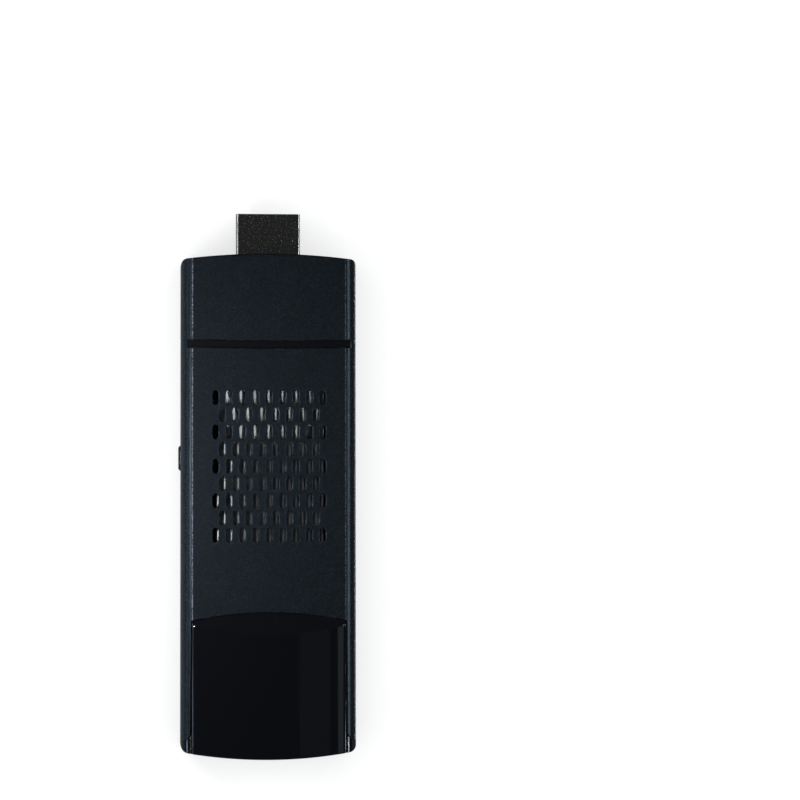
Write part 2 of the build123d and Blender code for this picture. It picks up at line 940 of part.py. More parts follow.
def card_socket_cover():
    """Bent metal cover over the card socket"""
    rear, mouth = card_ends()
    half = card_width / 2
    top = board_top + card_height
    cover = block((rear, card_y - half, board_top), (mouth, card_y + half, top))
    low = (rear + card_sheet, card_y - half + card_sheet, board_top - overrun)
    cover -= block(low, (mouth + overrun, card_y + half - card_sheet, top - card_sheet))
    window = card_contact_length / 2
    place = Pos((rear + mouth) / 2, card_y, top - overrun)
    return cover - place * extrude(RectangleRounded(window, card_width / 2, window / 3), 2 * overrun)


def switch_front():
    """Front of the switch's body, which looks towards the side wall"""
    return switch_setback - board_half


def button_back():
    """Where the button's back meets the plunger"""
    return -half_width + wall + fit + button_flange_thickness


def plunger(grow):
    """Plunger of the switch with its shoulder inside the body"""
    stem_end = switch_front() + switch_wall + plunger_shoulder_depth
    stem = side_bar(button_y, switch_middle(), plunger_length + 2 * grow, plunger_height + 2 * grow,
                    plunger_height / 4, button_back(), stem_end)
    shoulder_start = switch_front() + switch_wall
    half = plunger_length / 2 + plunger_shoulder + grow
    high = plunger_height / 2 + plunger_shoulder / 2 + grow
    low = (shoulder_start, button_y - half, switch_middle() - high)
    return stem + block(low, (stem_end, button_y + half, switch_middle() + high))


def switch_body():
    """Body of the side-push switch with the channel its plunger slides in"""
    front = switch_front()
    half = switch_length / 2
    body = block((front, button_y - half, board_top),
                 (front + switch_depth, button_y + half, board_top + switch_height))
    body -= plunger(fit)
    travel = Pos(button_travel + fit, 0, 0)
    return body - travel * plunger(fit)


def switch_cover():
    """Thin metal cover clipped over the switch"""
    front = switch_front()
    half = switch_length / 2
    top = board_top + switch_height
    low = (front, button_y - half, top)
    cover = block(low, (front + switch_depth, button_y + half, top + cover_sheet))
    back = front + switch_depth
    for side in (-1, 1):
        y = button_y + side * (half - cover_tab)
        low = (back, y - cover_tab / 2, board_top + cover_tab)
        cover += block(low, (back + cover_sheet, y + cover_tab / 2, top + cover_sheet))
    return cover


def power_button_cap():
    """Button in the side wall, kept in by a flange behind it"""
    start = -half_width - button_proud
    cap = side_bar(button_y, switch_middle(), button_length, button_height, button_height / 2 - fit, start,
                   button_back())
    rim = cap.edges().group_by(Axis.X)[0]
    cap = chamfer(rim, button_round)
    grown = 2 * button_flange
    flange = side_bar(button_y, switch_middle(), button_length + grown, button_height + grown,
                      button_height / 2, -half_width + wall + fit, button_back())
    return cap + flange


def heat_sink():
    """Plate on four feet with straight fins, and a plain landing beside them"""
    sink = block((-sink_left, -sink_tail, sink_bottom), (sink_right, sink_head, sink_top))
    fin_top = case_thickness - wall - fin_top_gap
    for place in range(int((sink_left + sink_right) / fin_pitch) + 1):
        x = fin_margin - sink_left + place * fin_pitch
        half = fin_thickness / 2
        sink += block((x - half, -fin_tail, sink_bottom), (x + half, fin_head, fin_top))
    edge = notch_width - sink_left
    sink -= block((-sink_left - overrun, notch_start, sink_bottom - overrun),
                  (edge, sink_head + overrun, fin_top))
    for x, y in sink_screw_places():
        sink += peg(x, y, sink_boss_radius, board_top, sink_bottom)
        sink -= peg(x, y, sink_screw_radius + fit, board_bottom, fin_top)
    return sink


def wireless_shield():
    """Pressed can over the wireless module"""
    half = module_size / 2 - shield_margin
    low = board_top + module_thickness
    high = low + shield_height
    can = block((module_x - half, flash_y - half, low), (module_x + half, flash_y + half, high))
    can = fillet(can.edges().filter_by(Axis.Z), shield_margin)
    inner = half - shield_sheet
    low_corner = (module_x - inner, flash_y - inner, low - overrun)
    return can - block(low_corner, (module_x + inner, flash_y + inner, high - shield_sheet))


def antenna():
    """Stamped antenna: slit plate on two feet"""
    half = antenna_width / 2
    reach = antenna_length / 2
    top = board_top + antenna_height
    low = (antenna_x - half, antenna_y - reach, top - antenna_sheet)
    plate = block(low, (antenna_x + half, antenna_y + reach, top))
    slit_end = antenna_y - reach + antenna_slit_length
    low = (antenna_x - antenna_slit / 2, antenna_y - reach - overrun, board_top)
    plate -= block(low, (antenna_x + antenna_slit / 2, slit_end, top + overrun))
    for x, y in ((-half, reach - antenna_leg), (half - antenna_sheet, -reach)):
        low = (antenna_x + x, antenna_y + y, board_top)
        plate += block(low, (antenna_x + x + antenna_sheet, antenna_y + y + antenna_leg, top))
    return plate


def placed(shares):
    """Places on the board from shares of half the case's width and length"""
    return [(x * half_width, y * head) for x, y in shares]


def inductors():
    """Power inductors on both faces of the board"""
    coils = []
    for back, shares in ((False, front_inductor_shares), (True, back_inductor_shares)):
        for x, y in placed(shares):
            coil = on_board(x, y, inductor_size, inductor_size, inductor_height, back)
            coils.append(chamfer(coil.edges().filter_by(Axis.Z), inductor_corner))
    return coils


def crystals():
    """Crystal cans with a stepped lid"""
    cans = []
    for x, y in placed(crystal_shares):
        can = on_board(x, y, crystal_length, crystal_width, crystal_height)
        lid_width = crystal_length - 2 * crystal_lid
        lid_length = crystal_width - 2 * crystal_lid
        cans.append(can + on_board(x, y, lid_width, lid_length, crystal_height + crystal_lid))
    return cans


def tantalum_capacitor():
    """Moulded tantalum capacitor under the board"""
    x, y = placed([tantalum_share])[0]
    return on_board(x, y, tantalum_width, tantalum_length, tantalum_height, back=True)


def capacitors(shares, back):
    """Small ceramic capacitors on one face of the board"""
    return [on_board(x, y, capacitor_length, capacitor_width, capacitor_height, back)
            for x, y in placed(shares)]


def chips():
    """Plain packages on the board, by name"""
    size = substrate_size
    parts = {"processor_substrate": on_board(0, processor_y, size, size, substrate_height)}
    level = Pos(0, 0, substrate_height)
    parts["processor_die"] = level * on_board(0, processor_y, die_size, die_size, die_height)
    level = Pos(0, 0, substrate_height + die_height)
    parts["thermal_pad"] = level * on_board(0, processor_y, pad_size, pad_size, pad_thickness)
    memory = [(memory_head_y, False), (memory_tail_y, False), (memory_head_y, True), (memory_tail_y, True)]
    for number, (y, back) in enumerate(memory, 1):
        parts[f"memory_chip_{number}"] = on_board(0, y, memory_length, memory_width, memory_height, back)
    parts["flash_chip"] = on_board(flash_x, flash_y, flash_width, flash_length, flash_height)
    parts["power_controller"] = on_board(controller_x, tail + controller_up, controller_size, controller_size,
                                         controller_height)
    parts["hdmi_redriver"] = on_board(0, board_head - redriver_back, redriver_size, redriver_size,
                                      redriver_height)
    parts["wireless_board"] = on_board(module_x, flash_y, module_size, module_size, module_thickness)
    led_x = switch_front() + led_width / 2
    parts["status_led"] = on_board(led_x, button_y + led_gap, led_width, led_length, led_height)
    return parts


def build():
    """Every piece by name"""
    body = case_walls()
    pins = hdmi_contacts()
    usb_pins = usb_strips()
    inlet_pins = inlet_strips()
    parts = {
        "front_shell": front_shell(body),
        "back_shell": back_shell(body),
        "connector_collar": connector_collar(),
        "tail_cap": tail_cap(),
        "power_button_cap": power_button_cap(),
        "switch_plunger": plunger(0),
        "switch_body": switch_body(),
        "switch_cover": switch_cover(),
        "main_board": main_board(),
        "board_screws": board_screws(),
        "heat_sink": heat_sink(),
        "sink_screws": sink_screws(),
        "hdmi_plug_shell": hdmi_plug_shell(),
        "hdmi_insulator": hdmi_insulator(pins),
        "hdmi_contacts": pins,
        "usb_shell": usb_shell(),
        "usb_tongue": usb_tongue(usb_pins),
        "usb_contacts": usb_pins,
        "micro_usb_shell": micro_usb_shell(),
        "micro_usb_tongue": micro_usb_tongue(inlet_pins),
        "micro_usb_contacts": inlet_pins,
        "card_socket_base": card_socket_base(),
        "card_socket_cover": card_socket_cover(),
        "card_socket_contacts": card_strips(),
        "wireless_shield": wireless_shield(),
        "antenna": antenna(),
        "inductors": inductors(),
        "crystals": crystals(),
        "tantalum_capacitor": tantalum_capacitor(),
        "capacitors_front": capacitors(front_capacitor_shares, False),
        "capacitors_back": capacitors(back_capacitor_shares, True),
    }
    return parts | chips()


for name, shape in build().items():
    solids = shape if isinstance(shape, list) else shape.solids()
    export_step(Compound(children=[solid for piece in solids for solid in piece.solids()]),
                f"parts/{name}.step")
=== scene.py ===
import json
import math

import bmesh
import bpy
from bpy.props import FloatProperty, FloatVectorProperty, IntProperty, PointerProperty
from bpy.types import Operator, Panel, PropertyGroup
from mathutils import Matrix, Quaternion, Vector

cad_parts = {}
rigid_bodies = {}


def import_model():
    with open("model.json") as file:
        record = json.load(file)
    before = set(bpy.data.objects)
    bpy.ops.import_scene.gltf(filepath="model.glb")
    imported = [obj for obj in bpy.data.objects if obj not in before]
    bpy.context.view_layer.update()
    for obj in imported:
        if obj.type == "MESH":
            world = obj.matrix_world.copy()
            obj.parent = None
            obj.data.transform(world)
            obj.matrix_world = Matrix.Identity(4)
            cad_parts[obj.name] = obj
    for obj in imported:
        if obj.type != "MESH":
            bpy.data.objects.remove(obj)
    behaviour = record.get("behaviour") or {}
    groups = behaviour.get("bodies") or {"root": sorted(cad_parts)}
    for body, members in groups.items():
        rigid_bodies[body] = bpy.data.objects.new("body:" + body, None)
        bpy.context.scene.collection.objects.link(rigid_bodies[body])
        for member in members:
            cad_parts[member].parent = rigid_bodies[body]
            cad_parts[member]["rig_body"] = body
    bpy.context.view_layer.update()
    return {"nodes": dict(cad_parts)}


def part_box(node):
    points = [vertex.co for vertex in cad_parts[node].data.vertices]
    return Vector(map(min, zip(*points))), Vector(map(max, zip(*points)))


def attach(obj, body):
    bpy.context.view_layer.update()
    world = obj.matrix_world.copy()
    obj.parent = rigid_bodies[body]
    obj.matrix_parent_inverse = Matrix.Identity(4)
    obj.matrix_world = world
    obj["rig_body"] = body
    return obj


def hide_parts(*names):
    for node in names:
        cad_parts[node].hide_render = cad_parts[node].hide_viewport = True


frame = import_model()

bl_info = {
    "name": "Stick computer dressing",
    "version": (1, 0, 0),
    "blender": (4, 5, 0),
    "location": "3D View > Sidebar > Stick",
    "description": "Dresses the packed stick computer: plastics, metals, board details and a studio stage",
    "category": "Object",
}

MM = 0.001
NODES = frame["nodes"]
BODY_OF = {name: obj["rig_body"] for name, obj in NODES.items()}

# The case's outer section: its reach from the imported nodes, its groove and shoulders as in the source
HALF_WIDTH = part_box("back_shell")[1].x
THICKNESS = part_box("front_shell")[1].z
GROOVE_DEPTH = 0.6 * MM
SHOULDER_WIDTH = 2.2 * MM
SHOULDER_DEPTH = 3.2 * MM
SHOULDER_RADIUS = (SHOULDER_WIDTH**2 + SHOULDER_DEPTH**2) / (2 * SHOULDER_WIDTH)
FACE_EDGE = HALF_WIDTH - SHOULDER_WIDTH

# Beyond this length the case's ends have moulded rims of their own
END_RIMS = 50 * MM

# Where the faces of the shells are cut across beside their grilles, so that the plain ends shade evenly
FACE_CUTS = {"front_shell": (-19 * MM, 32.5 * MM), "back_shell": (-47.5 * MM, 32.5 * MM),
             "connector_collar": ()}

# How close counts as one point, as on a cut, as on the case's surface and as on the groove's floor
SAME_POINT = 2e-6
ON_CUT = 1e-7
NEAR_CASE = 0.03 * MM
NEAR_FLOOR = 0.04 * MM

# Turn between two faces: inside one flat face, inside one smooth surface, at a corner of a CAD piece and
# at a corner of a plain block
FLAT_TURN = math.radians(0.4)
SMOOTH_TURN = math.radians(30)
CORNER_TURN = math.radians(35)
BLOCK_TURN = math.radians(40)

# Where the photograph shows the front view, in its own pixels
PHOTO_SIDE = 800
PHOTO_CENTRE = (269.2, 505.6)

# Painted highlight line beside each shoulder, a pale line where the crease would catch the lamps: how far in
# it lies and how wide it is to each side of that.
# It fades to a share of its strength across the middle of the case, so the right side, away from the key
# lamp, is painted dimmer.
HIGHLIGHT_LINE_INSET = 0.22 * MM
HIGHLIGHT_LINE_CORE = 0.07 * MM
HIGHLIGHT_LINE_REACH = 0.18 * MM
HIGHLIGHT_LINE_FADE = 5 * MM
HIGHLIGHT_LINE_RIGHT_SHARE = 0.3

# The shoulders are smoother than the faces from this far beyond their edge
SHOULDER_BLEND = 0.4 * MM
SHOULDER_SHARE = 0.56


def colour_property(name, description, default):
    """Setting that holds a colour"""
    return FloatVectorProperty(name=name, description=description, default=default, subtype="COLOR",
                               min=0, max=1)


def length_property(name, description, default):
    """Setting that holds a length"""
    return FloatProperty(name=name, description=description, default=default, unit="LENGTH")


def share_property(name, description, default):
    """Setting that holds a share of something"""
    return FloatProperty(name=name, description=description, default=default, subtype="FACTOR",
                         min=0.1, max=1)


class ShellFinish(PropertyGroup):
    """Plastic of the shells, the collar and the button"""
    colour: colour_property("Colour", "Spark-textured plastic of the case", (0.0016, 0.0024, 0.0036))
    fleck: colour_property("Fleck", "Lighter grains of the texture", (0.014, 0.0185, 0.025))
    # Colour of the painted highlight line where a face meets its shoulder
    wear_and_highlight: colour_property("Worn", "Rubbed line where a face meets its shoulder", (0.22, 0.25, 0.29))
    grain: length_property("Grain", "Width of one grain", 0.26 * MM)
    depth: length_property("Depth", "Depth of the texture", 0.03 * MM)
    rim: length_property("Rim", "Rounding of the slots and seams", 0.12 * MM)


class CapFinish(PropertyGroup):
    """Plastic of the tail cap"""
    colour: colour_property("Colour", "Polished plastic of the cap", (0.0036, 0.0037, 0.0050))
    rim: length_property("Rim", "Rounding of the cap's edges", 0.3 * MM)


class MetalFinish(PropertyGroup):
    """Bare metals of the plug, the ports and the heat sink"""
    plug: colour_property("Plug", "Nickel of the plug", (0.60, 0.57, 0.50))
    steel: colour_property("Steel", "Tinned steel of the ports", (0.62, 0.62, 0.60))
    gold: colour_property("Gold", "Flash of the contacts", (0.83, 0.62, 0.27))
    sink: colour_property("Sink", "Aluminium of the heat sink", (0.90, 0.90, 0.90))


class BoardFinish(PropertyGroup):
    """Solder mask of the boards"""
    mask: colour_property("Mask", "Solder mask over bare laminate", (0.018, 0.026, 0.012))
    track: colour_property("Track", "Solder mask over copper", (0.040, 0.055, 0.022))
    half_pitch: length_property("Half pitch", "Half the distance between tracks", 0.7 * MM)


class EdgeSizes(PropertyGroup):
    """Rounding of the smaller pieces' edges"""
    button: length_property("Button", "Edges of the power button", 0.06 * MM)
    sheet: length_property("Sheet", "Edges of the plug's, ports' and antenna's sheet metal", 0.04 * MM)
    sink: length_property("Heat sink", "Edges of the heat sink's plate and fins", 0.05 * MM)
    chip: length_property("Chip", "Edges of a chip package", 0.07 * MM)
    pad: length_property("Pad", "Edges of a package's tin pad", 0.02 * MM)
    coil: length_property("Coil", "Edges of a power inductor", 0.12 * MM)
    crystal: length_property("Crystal", "Edges of a crystal's can", 0.08 * MM)
    tantalum: length_property("Tantalum", "Edges of the orange capacitor", 0.15 * MM)
    ceramic: length_property("Ceramic", "Edges of a small capacitor's body", 0.03 * MM)
    tinned: length_property("Tinned end", "Edges of a small capacitor's ends", 0.05 * MM)
    shield: length_property("Shield", "Edges of the wireless module's can", 0.1 * MM)


class ScrewSizes(PropertyGroup):
    """Cross-head screws"""
    flats: IntProperty(name="Flats", description="Facets around a head", default=32, min=8)
    taper: share_property("Taper", "Width of a head's top against its foot", 0.78)
    slot_width: length_property("Slot width", "Width of one arm of the cross", 0.34 * MM)
    slot_share: share_property("Slot share", "Length of the cross against the head", 0.62)
    slot_depth: length_property("Slot depth", "Depth of the cross", 0.45 * MM)


class StageSettings(PropertyGroup):
    """Floor, lamps and camera"""
    floor: colour_property("Floor", "Colour of the floor", (0.86, 0.86, 0.86))
    # Reach of the painted soft shadow: the ambient occlusion that darkens the floor's glow near the stick
    reach: length_property("Reach", "Reach of the soft shadow on the floor", 12 * MM)
    distance: length_property("Distance", "Camera to the middle of the front face", 700 * MM)
    side: FloatProperty(name="Side", description="Angle from which the camera sees the left side",
                        default=math.radians(2.8), subtype="ANGLE")
    pixels: FloatProperty(name="Pixels", description="Photograph pixels for one metre of the object",
                          default=4620.0)
    light: FloatProperty(name="Light", description="Share of the lamps' power", default=1.0)


def settings(name):
    """One of the property groups of the scene"""
    return getattr(bpy.context.scene, "stick_" + name)


def add(tree, kind, values=None, **options):
    """New node with its options, and with values or other nodes' sockets on its inputs"""
    made = tree.nodes.new(kind)
    for option, value in options.items():
        setattr(made, option, value)
    for socket, value in (values or {}).items():
        if isinstance(value, bpy.types.NodeSocket):
            tree.links.new(value, made.inputs[socket])
        else:
            made.inputs[socket].default_value = value
    return made


def vector(tree, **parts):
    """Vector put together from its parts"""
    return add(tree, "ShaderNodeCombineXYZ", parts).outputs[0]


def part_of(tree, source, axis):
    """One part of a vector"""
    return add(tree, "ShaderNodeSeparateXYZ", {"Vector": source}).outputs[axis]


def solid_colour(colour):
    """Colour with full alpha, for a colour socket"""
    return (*colour[:3], 1.0)


def new_finish(name, colour, roughness, metallic=0.0, **sockets):
    """Material with one shader, its tree and the object's coordinates"""
    material = bpy.data.materials.new(name)
    material.use_nodes = True
    tree = material.node_tree
    shader = tree.nodes["Principled BSDF"]
    shader.inputs["Base Color"].default_value = solid_colour(colour)
    shader.inputs["Roughness"].default_value = roughness
    shader.inputs["Metallic"].default_value = metallic
    for socket, value in sockets.items():
        shader.inputs[socket.replace("_", " ")].default_value = value
    place = add(tree, "ShaderNodeTexCoord").outputs["Object"]
    return material, tree, shader, place


def noise(tree, place, scale, detail=2.0, stretch=(1, 1, 1), shift=(0, 0, 0)):
    """Noise of so many grains to a metre, stretched along an axis or shifted where asked"""
    if tuple(stretch) != (1, 1, 1) or tuple(shift) != (0, 0, 0):
        values = {"Vector": place, "Scale": stretch, "Location": shift}
        place = add(tree, "ShaderNodeMapping", values).outputs[0]
    values = {"Vector": place, "Scale": scale, "Detail": detail, "Roughness": 0.6}
    return add(tree, "ShaderNodeTexNoise", values).outputs["Fac"]


def spread(tree, value, low, high, to_low=0.0, to_high=1.0):
    """Value stretched from one range to another and held inside it"""
    values = {"Value": value, 1: low, 2: high, 3: to_low, 4: to_high}
    return add(tree, "ShaderNodeMapRange", values).outputs[0]


def mixed(tree, share, first, second):
    """Colour between two colours"""
    first = solid_colour(first) if not isinstance(first, bpy.types.NodeSocket) else first
    second = solid_colour(second) if not isinstance(second, bpy.types.NodeSocket) else second
    return add(tree, "ShaderNodeMix", {0: share, 6: first, 7: second}, data_type="RGBA").outputs[2]


def sums(tree, operation, first, second=0.0, third=0.0):
    """One step of arithmetic on values"""
    return add(tree, "ShaderNodeMath", {0: first, 1: second, 2: third}, operation=operation).outputs[0]


def relief(tree, shader, height, depth, strength=1.0):
    """Bump of a real depth on the shader's normal"""
    bump = add(tree, "ShaderNodeBump", {"Height": height, "Distance": depth, "Strength": strength})
    tree.links.new(bump.outputs[0], shader.inputs["Normal"])


def wire(tree, shader, **sockets):
    """Links from worked-out values to the shader"""
    for socket, value in sockets.items():
        tree.links.new(value, shader.inputs[socket.replace("_", " ")])


def spark_plastic(name="Spark plastic", smooth=1.0, light=1.0):
    """Dark plastic with the fine pits of a spark-eroded mould and a painted highlight line beside the case's
    shoulders; a light above 1 paints the whole colour lighter, as painted highlight on eased edges
    """
    own = settings("shell")
    base = [channel * light for channel in own.colour]
    fleck = [channel * light for channel in own.fleck]
    material, tree, shader, place = new_finish(name, base, 0.5, IOR=1.5, Specular_IOR_Level=0.27,
                                               Specular_Tint=(0.72, 0.88, 1.0, 1.0))
    pits = noise(tree, place, 1 / own.grain, 3)
    clouds = noise(tree, place, 160, 2)
    grain = mixed(tree, spread(tree, pits, 0.50, 0.68), base, fleck)
    shade = [channel * 0.82 for channel in base]
    colour = mixed(tree, spread(tree, clouds, 0.35, 0.75, 0.0, 0.35), grain, shade)
    # Painted highlight: a pale line along the crease of face and shoulder, speckled by the pits and painted
    # dimmer on the right, away from the key lamp
    across = part_of(tree, place, "X")
    side = sums(tree, "ABSOLUTE", across)
    off = sums(tree, "ABSOLUTE", sums(tree, "SUBTRACT", side, FACE_EDGE - HIGHLIGHT_LINE_INSET))
    line = spread(tree, off, HIGHLIGHT_LINE_CORE, HIGHLIGHT_LINE_REACH, 1.0, 0.0)
    painted_highlight_line = sums(tree, "MULTIPLY", line, spread(tree, across, -HIGHLIGHT_LINE_FADE, HIGHLIGHT_LINE_FADE, 1.0, HIGHLIGHT_LINE_RIGHT_SHARE))
    wear_and_highlight = sums(tree, "MULTIPLY", painted_highlight_line, spread(tree, pits, 0.44, 0.58))
    shoulder = spread(tree, side, FACE_EDGE, FACE_EDGE + SHOULDER_BLEND, 1.0, SHOULDER_SHARE)
    rough = sums(tree, "MULTIPLY", spread(tree, pits, 0.3, 0.7, 0.44 * smooth, 0.60 * smooth), shoulder)
    wire(tree, shader, Base_Color=mixed(tree, wear_and_highlight, colour, own.wear_and_highlight), Roughness=rough)
    relief(tree, shader, pits, own.depth * smooth**3, 0.6)
    return material


def polished_plastic():
    """Polished black plastic with a moulding's faint waves and a few fine scuffs"""
    own = settings("cap")
    material, tree, shader, place = new_finish("Polished plastic", own.colour, 0.07, IOR=1.49)
    haze = noise(tree, place, 90, 3)
    scuffs = noise(tree, place, 900, 4, stretch=(1, 0.12, 1))
    smear = sums(tree, "MULTIPLY", spread(tree, scuffs, 0.62, 0.74), spread(tree, haze, 0.45, 0.65))
    tone = [channel * 1.7 for channel in own.colour]
    wire(tree, shader, Base_Color=mixed(tree, smear, own.colour, tone),
         Roughness=sums(tree, "MULTIPLY_ADD", smear, 0.06, spread(tree, haze, 0.3, 0.7, 0.04, 0.075)))
    relief(tree, shader, noise(tree, place, 110, 1), 0.02 * MM, 0.25)
    return material


def metal(name, colour, roughness, grain=3000, stretch=(1, 1, 1), depth=0.01 * MM, stain=0.75):
    """Bare metal with rolling or milling lines, small stains and uneven polish"""
    material, tree, shader, place = new_finish(name, colour, roughness, 1.0)
    lines = noise(tree, place, grain, 3, stretch)
    clouds = noise(tree, place, 420, 3)
    dull = [channel * stain for channel in colour]
    tone = mixed(tree, spread(tree, clouds, 0.4, 0.7), colour, dull)
    uneven = sums(tree, "MULTIPLY_ADD", spread(tree, clouds, 0.35, 0.7), roughness * 0.45,
                  spread(tree, lines, 0.3, 0.7, roughness * 0.75, roughness * 1.2))
    wire(tree, shader, Base_Color=tone, Roughness=uneven)
    relief(tree, shader, lines, depth, 0.5)
    return material


def satin_nickel():
    """Plug's nickel: warm, softly drawn lengthwise and freckled with fine wear"""
    own = settings("metal")
    material, tree, shader, place = new_finish("Satin nickel", own.plug, 0.15, 1.0)
    freckles = noise(tree, place, 5200, 4)
    rubbed = noise(tree, place, 1500, 3, stretch=(1, 0.12, 1))
    wear_and_highlight = spread(tree, freckles, 0.60, 0.72)
    dull = [channel * 0.70 for channel in own.plug]
    tone = mixed(tree, spread(tree, rubbed, 0.40, 0.62), own.plug, dull)
    pale = [min(1.0, channel * 1.1) for channel in own.plug]
    wire(tree, shader, Base_Color=mixed(tree, wear_and_highlight, tone, pale),
         Roughness=sums(tree, "MULTIPLY_ADD", wear_and_highlight, 0.36, spread(tree, rubbed, 0.35, 0.65, 0.11, 0.17)))
    relief(tree, shader, sums(tree, "MULTIPLY", wear_and_highlight, freckles), 0.016 * MM, 0.5)
    return material


def moulded(name, colour, roughness=0.5, grain=4000, depth=0.012 * MM, light=1.6, **sockets):
    """Moulded or pressed body with a fine grain"""
    material, tree, shader, place = new_finish(name, colour, roughness, **sockets)
    pits = noise(tree, place, grain, 3)
    clouds = noise(tree, place, 500, 2)
    pale = [min(1.0, channel * light) for channel in colour]
    share = sums(tree, "MULTIPLY", spread(tree, pits, 0.45, 0.75), spread(tree, clouds, 0.3, 0.7, 0.4, 1.0))
    wire(tree, shader, Base_Color=mixed(tree, share, colour, pale),
         Roughness=spread(tree, pits, 0.3, 0.7, roughness * 0.85, min(1.0, roughness * 1.15)))
    relief(tree, shader, pits, depth, 0.5)
    return material


def bands(tree, place, half_pitch, direction, wobble):
    """Parallel tracks of one direction: 1 on a track and 0 between"""
    values = {"Vector": place, "Scale": 0.5 / half_pitch / math.pi, "Distortion": wobble, "Detail": 0.0}
    wave = add(tree, "ShaderNodeTexWave", values, bands_direction=direction)
    return spread(tree, wave.outputs["Fac"], 0.60, 0.66)


def solder_mask():
    """Board's mask with tracks that show through it, tinned via dots and the laminate's weave"""
    own = settings("board")
    material, tree, shader, place = new_finish("Solder mask", own.mask, 0.34, IOR=1.5)
    patch = spread(tree, noise(tree, place, 130, 1), 0.47, 0.50)
    other = spread(tree, noise(tree, place, 170, 1, shift=(0.3, 0.1, 0)), 0.48, 0.50)
    across = sums(tree, "MULTIPLY", bands(tree, place, own.half_pitch, "X", 0.4), patch)
    along = sums(tree, "MULTIPLY", bands(tree, place, own.half_pitch * 1.3, "Y", 0.3), other)
    tracks = sums(tree, "MAXIMUM", across, along)
    flat = add(tree, "ShaderNodeMapping", {"Vector": place, "Scale": (1, 1, 0)}).outputs[0]
    dots = add(tree, "ShaderNodeTexVoronoi", {"Vector": flat, "Scale": 620.0, "Randomness": 0.8})
    tinned = spread(tree, dots.outputs["Distance"], 0.14, 0.17, 1.0, 0.0)
    weave = noise(tree, place, 1800, 2, stretch=(1, 0.3, 1))
    tin = (0.52, 0.50, 0.44)
    green = mixed(tree, tracks, own.mask, own.track)
    green = mixed(tree, spread(tree, weave, 0.45, 0.75, 0.0, 0.3), green, own.track)
    wire(tree, shader, Base_Color=mixed(tree, tinned, green, tin), Metallic=tinned,
         Roughness=spread(tree, weave, 0.3, 0.7, 0.28, 0.42))
    relief(tree, shader, sums(tree, "ADD", tracks, tinned), 0.02 * MM, 0.5)
    return material


def banded_tantalum():
    """Orange moulded capacitor whose marked end is darker"""
    low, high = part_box("tantalum_capacitor")
    orange = (0.62, 0.25, 0.035)
    pale = (0.74, 0.33, 0.06)
    marked = (0.30, 0.08, 0.02)
    marked_share = 0.22
    blur = 0.03 * MM
    material, tree, shader, place = new_finish("Moulded orange", orange, 0.42, IOR=1.5)
    grain = noise(tree, place, 3500, 3)
    edge = low.y + marked_share * (high.y - low.y)
    stripe = spread(tree, part_of(tree, place, "Y"), edge - blur, edge + blur, 1.0, 0.0)
    body = mixed(tree, spread(tree, grain, 0.4, 0.7), orange, pale)
    wire(tree, shader, Base_Color=mixed(tree, stripe, body, marked))
    relief(tree, shader, grain, 0.01 * MM, 0.5)
    return material


def dress(material, *names):
    """Gives CAD nodes a finish"""
    for name in names:
        mesh = NODES[name].data
        mesh.materials.clear()
        mesh.materials.append(material)


def islands(name):
    """Lowest and highest corner of each separate solid in a CAD node"""
    shape = bmesh.new()
    shape.from_mesh(NODES[name].data)
    bmesh.ops.remove_doubles(shape, verts=shape.verts, dist=SAME_POINT)
    found, seen = [], set()
    for start in shape.verts:
        if start in seen:
            continue
        stack, group = [start], []
        seen.add(start)
        while stack:
            vertex = stack.pop()
            group.append(vertex.co.copy())
            for edge in vertex.link_edges:
                other = edge.other_vert(vertex)
                if other not in seen:
                    seen.add(other)
                    stack.append(other)
        low = Vector([min(point[axis] for point in group) for axis in range(3)])
        high = Vector([max(point[axis] for point in group) for axis in range(3)])
        found.append((low, high))
    shape.free()
    return found


def middle(box):
    """Middle of a box given by its corners"""
    return (box[0] + box[1]) / 2


def shown(name, mesh):
    """New object in the scene for a mesh in the row frame"""
    piece = bpy.data.objects.new(name, mesh)
    bpy.context.scene.collection.objects.link(piece)
    return piece


def made_plain(piece):
    """Turns a piece's modifiers into plain mesh"""
    bpy.context.view_layer.update()
    graph = bpy.context.evaluated_depsgraph_get()
    mesh = bpy.data.meshes.new_from_object(piece.evaluated_get(graph), preserve_all_data_layers=True,
                                           depsgraph=graph)
    piece.modifiers.clear()
    piece.data = mesh
    if not mesh.polygons:
        raise RuntimeError(f"{piece.name} came out empty")
    return piece


def settle(piece, node, stands_for=True):
    """Body and the node that a piece stands for"""
    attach(piece, BODY_OF[node])
    if stands_for:
        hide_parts(node)


def whole_faces(node, cuts=()):
    """Corners and faces of a CAD node with its flat faces in one piece, cut across where asked"""
    shape = bmesh.new()
    shape.from_mesh(NODES[node].data)
    bmesh.ops.remove_doubles(shape, verts=shape.verts, dist=SAME_POINT)
    bmesh.ops.dissolve_limit(shape, angle_limit=FLAT_TURN, verts=shape.verts, edges=shape.edges)
    for place in cuts:
        parts = shape.verts[:] + shape.edges[:] + shape.faces[:]
        bmesh.ops.bisect_plane(shape, geom=parts, dist=ON_CUT, plane_co=(0, place, 0), plane_no=(0, 1, 0))
    shape.verts.index_update()
    points = [vertex.co.copy() for vertex in shape.verts]
    faces = [[vertex.index for vertex in face.verts] for face in shape.faces]
    shape.free()
    return points, faces


def sharp_edges(edge, angle):
    """Full rounding on every corner edge"""
    return 1.0 if angle > CORNER_TURN else 0.0


